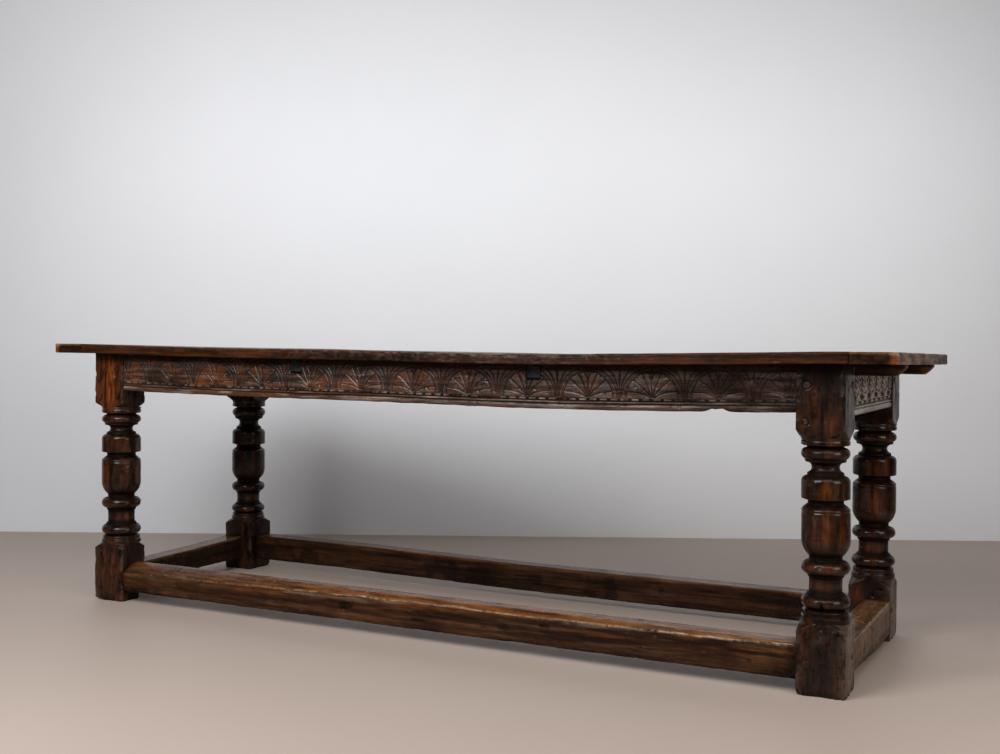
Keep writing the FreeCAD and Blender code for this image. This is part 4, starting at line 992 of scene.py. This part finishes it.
def lunettes(x, up, left):
    shape = friezeShape
    radius = shape["pitch"] / 2
    dx = (x - left - shape["firstCentre"] + radius) % shape["pitch"] - radius
    dz = up - shape["baseLine"]
    reach = np.hypot(dx, dz)
    lean = np.degrees(np.arctan2(dx, np.maximum(dz, 1e-6)))
    width = shape["lineWidth"]
    line = np.zeros_like(x)
    for share, strength in shape["archLines"]:
        line = np.maximum(line, strength * bump(reach, share * radius, width))
    # palmette: petals parted by fanned lines, a forked one in the middle
    petalReach = shape["petalReach"] * radius
    nearest = np.ones_like(x)
    for degrees in shape["petals"]:
        bent = degrees * (0.76 + 0.24 * np.clip(reach / petalReach, 0, 1))
        nearest = np.minimum(nearest, np.abs(np.radians(lean - bent)) * reach)
    cushion = np.clip(1 - nearest / 0.006, 0, 1) ** 2
    inPetal = ramp(reach, petalReach + 0.001, petalReach - 0.001)
    line = np.maximum(line, bump(nearest, 0, width) * inPetal * ramp(reach, 0.001, 0.006))
    spread, forkFrom, forkFull = shape["fork"]
    fork = bump(np.abs(np.abs(dx) - spread * (reach - forkFrom * petalReach)), 0, width)
    forked = ramp(reach, forkFrom * petalReach, forkFull * petalReach)
    line = np.maximum(line, fork * forked * inPetal)
    # leaves between two arches
    outer = shape["archLines"][0][0] * radius
    opening = radius - np.sqrt(np.maximum(outer ** 2 - np.clip(dz, 0, outer) ** 2, 0))
    inLeaf = ramp(reach, outer + 0.0005, outer + 0.003)
    apart = np.ones_like(x)
    for share in shape["leafShares"]:
        apart = np.minimum(apart, np.abs(radius - np.abs(dx) - share * opening))
    line = np.maximum(line, bump(apart, 0, width) * inLeaf * ramp(up, *shape["leafTop"]))
    above = ramp(dz, -0.0006, 0.0012)
    depth = shape["lineDepth"] * line + 0.0006 * cushion * inPetal
    depth += 0.0008 * inLeaf * np.clip(1 - apart / 0.008, 0, 1) ** 2
    # painted glints along the cut edges of the petals and inside the outer arch line
    glint = np.maximum(bump(nearest, 0.0026, shape["glint"]) * inPetal,
                       bump(reach, outer - 0.0028, shape["glint"]))
    return depth * above, line * above, inPetal * above, glint * above


def carvedFront(x, up, left, seed):
    spot = np.stack([x, np.zeros_like(x), up], axis=-1)
    wobbleX = 0.0013 * cloud(spot, 0.03, seed)
    wobbleUp = 0.001 * cloud(spot, 0.03, seed + 1)
    depth, line, petal, glint = lunettes(x + wobbleX, up + wobbleUp, left)
    # row of dashes under the arches
    dash = np.abs((x - left) / friezeShape["dashPitch"] % 1 - 0.5) * 2
    dash = ramp(dash, 0.74, 0.62) * blotchy(spot, (0.03, 1, 1), seed + 2, -0.75, -0.35, octaves=2)
    strip = ramp(np.abs(up - friezeShape["dashLine"]), 0.0022, 0.0012)
    below = ramp(up, friezeShape["baseLine"] + 0.0006, friezeShape["baseLine"] - 0.0012)
    sunk = below * (1 - strip * dash)
    depth = np.where(below > 0, np.maximum(depth, friezeShape["dashDepth"] * sunk), depth)
    line = np.maximum(line, 0.75 * sunk)
    depth, line = overMoulding(up, depth, line, 0.002)
    faint = follow(x, friezeShape["faint"])
    depth = depth * faint
    line = line * faint
    # painted glints join the worn dashes as lighter wood
    glint = 0.9 * glint * blotchy(spot, 0.014, seed + 7, 0.0, 0.6, octaves=2)
    rubAndGlint = np.maximum(strip * dash * below, glint) * faint
    # knocks and scratches
    depth += 0.0004 * (1 + cloud(spot, 0.02, seed + 3, 3))
    depth += 0.004 * np.clip(cloud(spot, 0.008, seed + 4) - 0.62, 0, 1)
    return depth, line, petal, rubAndGlint


def friezeRings(stations, ups, face, thickness, inward, axis, base, height, carve):
    # rings of a frieze board: up the carved face, over the top and down the back
    run, up = np.meshgrid(stations, ups, indexing="ij")
    depth, *layers = carve(run, up)
    count = len(stations)
    back = np.linspace(height, 0, 7)[1:-1]
    topRow = np.linspace(0, thickness, 4)[1:]
    plan = np.concatenate([depth, np.broadcast_to(topRow, (count, 3)),
                           np.full((count, len(back)), thickness),
                           np.broadcast_to(topRow[::-1], (count, 3))], axis=1)
    rise = np.concatenate([up, np.full((count, 3), height),
                           np.broadcast_to(back, (count, len(back))), np.zeros((count, 3))], axis=1)
    along = np.broadcast_to(stations[:, None], plan.shape)
    across = face + inward * plan
    order = (along, across) if axis == "X" else (across, along)
    rings = np.stack((*order, rise + base), axis=-1)
    extra = plan.shape[1] - up.shape[1]
    return rings, [np.pad(values, ((0, 0), (0, extra))) for values in layers]


def upRows(height, lowerCount, upperCount):
    # rows up a frieze, close together over the moulding
    split = friezeShape["baseLine"]
    lower = np.linspace(0, split, int(lowerCount * fine) + 1)
    return np.concatenate([lower, np.linspace(split, height, int(upperCount * fine) + 1)[1:]])


def friezePaint(rings, layers, seed, grain, warmth, grimeAndShade):
    line, petal, rubAndGlint = layers
    wear = 0.85 * rubAndGlint * patchy(rings, 0.012, seed + 31, 0.5)
    wear += 0.25 * blotchy(rings, grain, seed + 33, 0.1, 0.8) * (1 - line)
    dirtAndShade = 0.95 * line
    dirtAndShade += grimeAndShade * patchy(rings, (0.08, 0.08, 0.03), seed + 35, 0.4, 0.7)
    dirtAndShade += 0.35 * blotchy(rings, grain, seed + 36, 0.1, 0.8)
    warm = warmth * (0.4 + 0.3 * petal) * patchy(rings, 0.03, seed + 37, 0.4, 0.8)
    return {"wear": wear, "dirtAndShade": dirtAndShade, "warm": warm, "polish": 0.3 * petal}


def cutNotches(along, up, depth, line, boxes, axis, low):
    # sunk places where the bearers' ends show
    gap = friezeShape["notchGap"]
    for boxLow, boxHigh in boxes:
        notch = (along > boxLow[axis] - gap) & (along < boxHigh[axis] + gap)
        notch = notch & (up > boxLow[2] - low - gap)
        depth = np.where(notch, friezeShape["notchDepth"], depth)
        line = np.where(notch, 1, line)
    return depth, line


def buildLongFrieze(name, seed, carved):
    low, high = cornersOf(name)
    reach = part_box("front_right_leg")[0][0]
    height = high[2] - low[2]
    step = friezeShape["step"] if carved else friezeShape["plainStep"]
    past = friezeShape["past"]
    stations = np.linspace(-reach - past, reach + past, int(2 * reach / step * fine))
    face, inward = (low[1], 1) if carved else (high[1], -1)
    bearers = [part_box(side + "_cross_bearer") for side in ("left", "right")]

    def carve(x, up):
        if carved:
            depth, line, petal, rubAndGlint = carvedFront(x, up, -reach, seed)
        else:
            spot = np.stack([x, np.zeros_like(x), up], axis=-1)
            depth = np.where(up < moulding["head"], mouldingDepth(up), 0)
            line = ramp(depth, 0.0024, 0.0032)
            depth = depth + 0.0006 * (1 + cloud(spot, (0.1, 0.1, 0.03), seed, 3))
            petal, rubAndGlint = np.zeros_like(x), np.zeros_like(x)
        depth, line = cutNotches(x, up, depth, line, bearers, 0, low[2])
        return depth, line, petal, rubAndGlint

    ups = upRows(height, *friezeShape["rows" if carved else "plainRows"])
    thickness = high[1] - low[1]
    rings, layers = friezeRings(stations, ups, face, thickness, inward, "X", low[2], height, carve)
    x = rings[..., 0]
    spot = np.stack([x[:, 0], np.zeros(len(x)), np.zeros(len(x))], axis=-1)
    floorLine = low[2] + 0.0007 * (1 + cloud(spot, 0.04, seed + 5, 3))
    if carved:
        start, stop, deep = friezeShape["chip"]
        bite = ramp(spot[:, 0], start, start + 0.022) * ramp(spot[:, 0], stop, stop - 0.02)
        floorLine += deep * bite * (0.85 + 0.3 * cloud(spot, 0.018, seed + 6, 2))
    level = np.maximum(rings[..., 2], floorLine[:, None])
    rings[..., 2] = level + sagAt(x)
    paint = friezePaint(rings, layers, seed, (0.12, 0.008, 0.008),
                        follow(x, friezeShape["warmth"]), follow(x, friezeShape["grimeAndShade"]))
    # painted shadow under the overhang of the top, along the frieze's upper edge
    paint["dirtAndShade"] += 0.9 * ramp(level, high[2] - 0.019, high[2] - 0.011)
    # darker towards the right end: grime and painted shade
    paint["dirtAndShade"] += 0.3 * ramp(x, 0.68, 0.88)
    # lighter beads on the run moulding: rubbed wood and painted highlights
    beads = ramp(level - low[2], moulding["head"], moulding["head"] - 0.002) * (1 - layers[0])
    rubbed = blotchy(rings, (0.07, 0.006, 0.006), seed + 41, 0.0, 0.8)
    paint["wear"] += 0.7 * beads * rubbed
    paint["warm"] = paint["warm"] * (1 - 0.5 * beads) + 0.15 * beads
    return addPiece(name, loft(rings, paint), woods["frieze"], [name])


# end friezes: upright leafy stems over a row of studs
endFriezeShape = {
    "step": 0.00125, "rows": (26, 74), "past": (0.016, 0.004), "drop": 0.0095, "proud": 0.003,
    "studs": 8, "studWidth": 0.0125, "band": (0.0284, 0.0044), "foot": 0.0335, "depth": 0.005,
    "columns": 5.5, "tongue": (0.02, 0.016), "stem": 0.0055, "sway": (0.005, 0.0052),
    "leafRows": 6, "leafFrom": 0.01, "leafPitch": 0.0132, "leafLength": 0.02,
    "leafWidth": 0.0034, "leafLean": 0.48, "leafOut": 0.0215,
}


def leafyStems(y, up, reach, seed):
    shape = endFriezeShape
    spot = np.stack([np.zeros_like(y), y, up], axis=-1)
    pitch = 2 * reach / shape["columns"]
    dy = (y + reach + 0.002 * cloud(spot, 0.03, seed + 1)) % pitch - pitch / 2
    rise = up - shape["foot"] + 0.001 * cloud(spot, 0.02, seed + 2)
    # tongue at the foot of each column, split in the middle
    wide, tall = shape["tongue"]
    tongue = np.hypot(dy / wide, np.clip(rise, 0, None) / tall)
    raised = ramp(tongue, 1.0, 0.9) * (1 - 0.7 * bump(dy, 0, 0.0025))
    # swaying stem with leaves on both sides in turn
    swing, bend = shape["sway"]
    sway = swing * np.sin(rise / bend)
    clear = ramp(tongue, 1.12, 1.25)
    stem = ramp(np.abs(dy - sway), shape["stem"], shape["stem"] - 0.002)
    raised = np.maximum(raised, clear * stem)
    c, s = math.cos(shape["leafLean"]), math.sin(shape["leafLean"])
    for side in (-1, 1):
        out = side * (dy - sway) - shape["leafOut"]
        for row in range(shape["leafRows"]):
            high = rise - shape["leafFrom"] - shape["leafPitch"] * (row + 0.5 * (side > 0))
            leaf = np.hypot((out * c + high * s) / shape["leafLength"],
                            (high * c - out * s) / shape["leafWidth"])
            raised = np.maximum(raised, clear * ramp(leaf, 1.05, 0.75))
    raised = raised * ramp(np.abs(dy), pitch / 2 - 0.0006, pitch / 2 - 0.0022)
    depth = shape["depth"] * (1 - raised)
    line = 1 - raised
    # row of studs in a sunk band
    middle, half = shape["band"]
    band = ramp(np.abs(up - middle), half, half - 0.0015)
    studPitch = 2 * reach / shape["studs"]
    fromStud = (y + reach) % studPitch - studPitch / 2
    stud = np.hypot(fromStud / shape["studWidth"], (up - middle) / (0.85 * half))
    knob = ramp(stud, 1.1, 0.7)
    depth = np.where(up < shape["foot"], shape["depth"] * band * (1 - knob), depth)
    line = np.where(up < shape["foot"], band * (1 - knob), line)
    depth, line = overMoulding(up, depth, line, 0.0022)
    depth = depth + 0.0004 * (1 + cloud(spot, 0.015, seed, 3))
    return depth, line, 1 - line, 0.25 * band * knob


def buildEndFrieze(name, seed):
    low, high = cornersOf(name)
    reach = -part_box("front_right_leg")[1][1]
    base = low[2] - endFriezeShape["drop"]
    height = high[2] - base
    count = int(2 * reach / endFriezeShape["step"] * fine)
    pastFront, pastBack = endFriezeShape["past"]
    stations = np.linspace(-reach - pastFront, reach + pastBack, count)
    right = high[0] > 0
    face, inward = (high[0], -1) if right else (low[0], 1)
    face -= inward * endFriezeShape["proud"]
    bearers = [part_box(side + "_right_end_bearer") for side in ("front", "back")]

    def carve(y, up):
        depth, line, *others = leafyStems(y, up, reach, seed)
        depth, line = cutNotches(y, up, depth, line, bearers, 1, base)
        return depth, line, *others

    ups = upRows(height, *endFriezeShape["rows"])
    thickness = high[0] - low[0]
    rings, layers = friezeRings(stations, ups, face, thickness, inward, "Y", base, height, carve)
    paint = friezePaint(rings, layers, seed, (0.008, 0.12, 0.008), 0.1, 0.1)
    paint["dirtAndShade"] += 0.3 * ramp(layers[0], 0.3, 0.8)
    return addPiece(name, loft(rings, paint), woods["endFriezeSheen"], [name])


buildLongFrieze("front_frieze", 611, True)
buildLongFrieze("back_frieze", 661, False)
buildEndFrieze("left_end_frieze", 711)
buildEndFrieze("right_end_frieze", 761)
print("friezes carved")


# pegs and nails
pegShape = {
    "sides": 28, "rim": 0.0019,
    # how proud the head is and whether it follows the sagging top
    "groups": {"frieze_pegs": (0.0008, False), "stretcher_pegs": (0.0006, False),
               "leg_plugs": (0.0006, False), "cleat_pegs": (0.0001, True),
               "top_pegs": (0.0001, True)},
}


def pegSkin(low, high, seed, dome, sag=False):
    # hand-cut peg: uneven round, softly domed head, dark rim where it meets the wood
    size = high - low
    axis = int(np.argmax(size))
    middle = (low + high) / 2
    radius = np.sort(size)[0] / 2
    outward = 1 if axis == 2 or middle[axis] > 0 else -1
    head = high[axis] if outward > 0 else low[axis]
    tail = low[axis] if outward > 0 else high[axis]
    turn = np.arange(pegShape["sides"]) / pegShape["sides"] * 2 * math.pi
    around = np.stack([np.cos(turn), np.sin(turn), np.full_like(turn, seed)], axis=-1)
    wobble = cloud(around, 0.55, seed)
    outline = 1 - 0.05 * (1 + wobble)
    rim = dome + pegShape["rim"]
    rows = [(0.12, 0.0), (0.5, 0.1 * dome), (0.85, 0.4 * dome), (1.02, dome),
            (1.07, dome + 0.0008), (1.09, rim), (1.0, rim + 0.001), (1.0, abs(head - tail))]
    a, b = [i for i in range(3) if i != axis]
    grimy, dryAndLit = (0.1, 0.6) if axis == 0 else (0.9, 0)  # pegs in the end faces lighter and less grimy: dry wood and painted light
    rings, dirtAndShade = [], []
    tilt = cloud(np.array([[seed * 0.37, 0.2, 0.9]]), 0.5, seed)[0] * 0.05
    for share, drop in rows:
        ring = np.zeros((len(turn), 3))
        ring[:, a] = middle[a] + radius * share * outline * np.cos(turn)
        ring[:, b] = middle[b] + radius * share * outline * np.sin(turn)
        slope = tilt * radius * share * np.cos(turn + seed) if drop < dome + 0.0005 else 0
        ring[:, axis] = head - outward * np.clip(drop + np.abs(slope), 0, None)
        rings.append(ring)
        dirtAndShade.append(np.full(len(turn), grimy if share >= 1.07 or drop > rim else 0.15))
    rings = np.array(rings)
    if sag:
        rings[..., 2] += sagAt(rings[..., 0]) + tiltAt(rings[..., 0], rings[..., 1])
    else:
        leg = ("front_" if middle[1] < 0 else "back_") + ("left" if middle[0] < 0 else "right")
        rings[..., 0] += follow(middle[2], legs[leg + "_leg"]["lean"])
    dirtAndShade = np.array(dirtAndShade) + 0.3 * patchy(rings, 0.006, seed + 1, octaves=2)
    wear = 0.35 * patchy(rings, 0.005, seed + 2, 0.3, octaves=2) * (dirtAndShade < 0.5) + dryAndLit
    return loft(rings, {"dirtAndShade": dirtAndShade, "wear": wear}, 0.0002)


for seed, (group, (dome, sag)) in enumerate(pegShape["groups"].items()):
    skins = [pegSkin(low, high, 800 + 40 * seed + i, dome, sag)
             for i, (low, high) in enumerate(solidBoxes(group))]
    addPiece(group, joinParts(skins), woods["peg"], [group])

ironLook = {"colour": (0.035, 0.03, 0.028), "rust": (0.09, 0.035, 0.016)}


def iron():
    material, tree, place = newMaterial("forged_iron")
    blotch = noise(tree, place, 240.0, 5.0)
    pits = noise(tree, place, 900.0, 3.0)
    rust = span(tree, blotch, 0.45, 0.62, 0.0, 1.0)
    colour = mixColour(tree, rust, rgba(ironLook["colour"]), rgba(ironLook["rust"]))
    shader = makeNode(tree, "BsdfPrincipled", {
        "Base Color": colour, "Metallic": span(tree, rust, 0, 1, 0.9, 0.1),
        "Roughness": span(tree, blotch, 0.3, 0.7, 0.42, 0.75),
        "Normal": bumpMap(tree, 0.5, 0.0006, pits)})
    showSurface(tree, shader.outputs[0])
    return material


def nailSkin(low, high, seed):
    # forged nail with a hammered head against the bearer
    middle = (low + high) / 2
    turn = np.arange(20) / 20 * 2 * math.pi
    facets = 1 - 0.1 * np.abs(np.sin(2.5 * turn + seed)) - 0.04 * np.cos(3 * turn + seed)
    radius = (high[0] - low[0]) / 2
    length = high[2] - low[2]
    rings = []
    rows = ((0.15, 0.0), (0.42, 0.0004), (0.72, 0.0016), (0.95, 0.0028), (1.0, 0.0034),
            (0.97, 0.0039), (0.36, 0.004), (0.34, length - 0.004), (0.1, length))
    for share, up in rows:
        shape = facets if up < 0.00395 else np.ones_like(turn)
        rings.append(np.stack([middle[0] + radius * share * shape * np.cos(turn),
                               middle[1] + radius * share * shape * np.sin(turn),
                               np.full_like(turn, low[2] + up)], axis=-1))
    rings = np.array(rings)
    return loft(rings, {"dirtAndShade": np.zeros(rings.shape[:2])}, 0.0002)


nails = [nailSkin(low, high, 950 + i) for i, (low, high) in enumerate(solidBoxes("bearer_nails"))]
addPiece("bearer_nails", joinParts(nails), iron(), ["bearer_nails"])
print("pegs and nails driven")

# stage, light and camera
roomLook = {"floor": (0.46, 0.375, 0.325), "floorHalf": 9, "wall": (0.75, 0.765, 0.8),
            "wallDistance": 4.98, "wallHalf": 8, "wallHeight": 5, "world": 0.05,
            "sky": (0.86, 0.88, 0.92)}
viewFrom = {"place": (1.645, -3.102, 0.773), "turn": 26.87, "roll": 0.55, "focal": 43.96,
            "sensor": 36, "shift": -0.0303}


def plainMaterial(name, colour, roughness, oneSided):
    material, tree, place = newMaterial(name)
    mottle = noise(tree, place, 2.2, 5.0)
    shade = mixColour(tree, span(tree, mottle, 0.3, 0.7, 0.0, 0.12), rgba(colour),
                      rgba([channel * 0.8 for channel in colour]))
    values = {"Base Color": shade, "Roughness": roughness}
    surface = makeNode(tree, "BsdfPrincipled", values).outputs[0]
    if oneSided:
        away = makeNode(tree, "NewGeometry").outputs["Backfacing"]
        clear = makeNode(tree, "BsdfTransparent").outputs[0]
        surface = makeNode(tree, "MixShader", {0: away, 1: surface, 2: clear}).outputs[0]
    showSurface(tree, surface)
    return material


def stagePlane(name, corners, material):
    mesh = bpy.data.meshes.new(name)
    mesh.from_pydata(corners, [], [(0, 1, 2, 3)])
    mesh.materials.append(material)
    plane = bpy.data.objects.new(name, mesh)
    scene.collection.objects.link(plane)
    return plane


turn = math.radians(viewFrom["turn"])
ahead = Vector((-math.sin(turn), math.cos(turn), 0))
aside = Vector((math.cos(turn), math.sin(turn), 0))
eye = Vector(viewFrom["place"])
far = roomLook["floorHalf"]
stagePlane("floor", [(-far, -far, 0), (far, -far, 0), (far, far, 0), (-far, far, 0)],
           plainMaterial("pale_floor", roomLook["floor"], 0.55, False))
wallFoot = Vector((eye.x, eye.y, 0)) + ahead * roomLook["wallDistance"]
wallCorners = [wallFoot + aside * side * roomLook["wallHalf"] for side in (-1, 1)]
wallTop = Vector((0, 0, roomLook["wallHeight"]))
wallCorners += [corner + wallTop for corner in reversed(wallCorners)]
stagePlane("wall", wallCorners, plainMaterial("pale_wall", roomLook["wall"], 0.8, True))

world = bpy.data.worlds.new("studio")
scene.world = world
world.use_nodes = True
sky = world.node_tree.nodes["Background"].inputs
sky["Color"].default_value = rgba(roomLook["sky"])
sky["Strength"].default_value = roomLook["world"]

lampPlan = {
    # place, aim, width, height, power, spread in degrees, colour
    "key": ((-0.4, -2.7, 2.2), (0, 0.3, 0.5), 1.6, 1.3, 76, 180, (1, 1, 1)),
    "ceiling": ((1.6, -2.2, 3.0), (0.6, 0.4, 0.3), 3.0, 2.0, 46, 180, (1, 1, 1)),
    "leftWindow": ((-0.5, -2.4, 1.15), (0.2, 0, 0.6), 0.5, 1.2, 6, 180, (1, 1, 1)),
    "rightWindow": ((2.75, -0.95, 1.2), (0.9, 0, 0.55), 1.0, 1.4, 22, 180, (1, 0.93, 0.84)),
    "wallWash": ((0.1, 0.3, 1.55), (-0.5, 1.5, 1.45), 3.8, 0.6, 6.5, 115, (1, 1, 1)),
}
for lampName, (lampPlace, aim, wide, tall, power, spread, tint) in lampPlan.items():
    lampData = bpy.data.lights.new(lampName, "AREA")
    lampData.shape = "RECTANGLE"
    lampData.size = wide
    lampData.size_y = tall
    lampData.energy = power
    lampData.color = tint
    lampData.spread = math.radians(spread)
    lamp = bpy.data.objects.new(lampName, lampData)
    lamp.location = lampPlace
    lamp.rotation_euler = (Vector(aim) - Vector(lampPlace)).to_track_quat("-Z", "Y").to_euler()
    lamp.visible_camera = False
    scene.collection.objects.link(lamp)

cameraData = bpy.data.cameras.new("camera")
cameraData.lens = viewFrom["focal"]
cameraData.sensor_width = viewFrom["sensor"]
cameraData.sensor_fit = "HORIZONTAL"
cameraData.shift_y = viewFrom["shift"]
camera = bpy.data.objects.new("camera", cameraData)
camera.location = eye
camera.rotation_euler = (Matrix.Rotation(turn, 3, "Z") @ Matrix.Rotation(math.pi / 2, 3, "X")
                         @ Matrix.Rotation(math.radians(viewFrom["roll"]), 3, "Z")).to_euler()
scene.collection.objects.link(camera)
scene.camera = camera
print("stage lit")
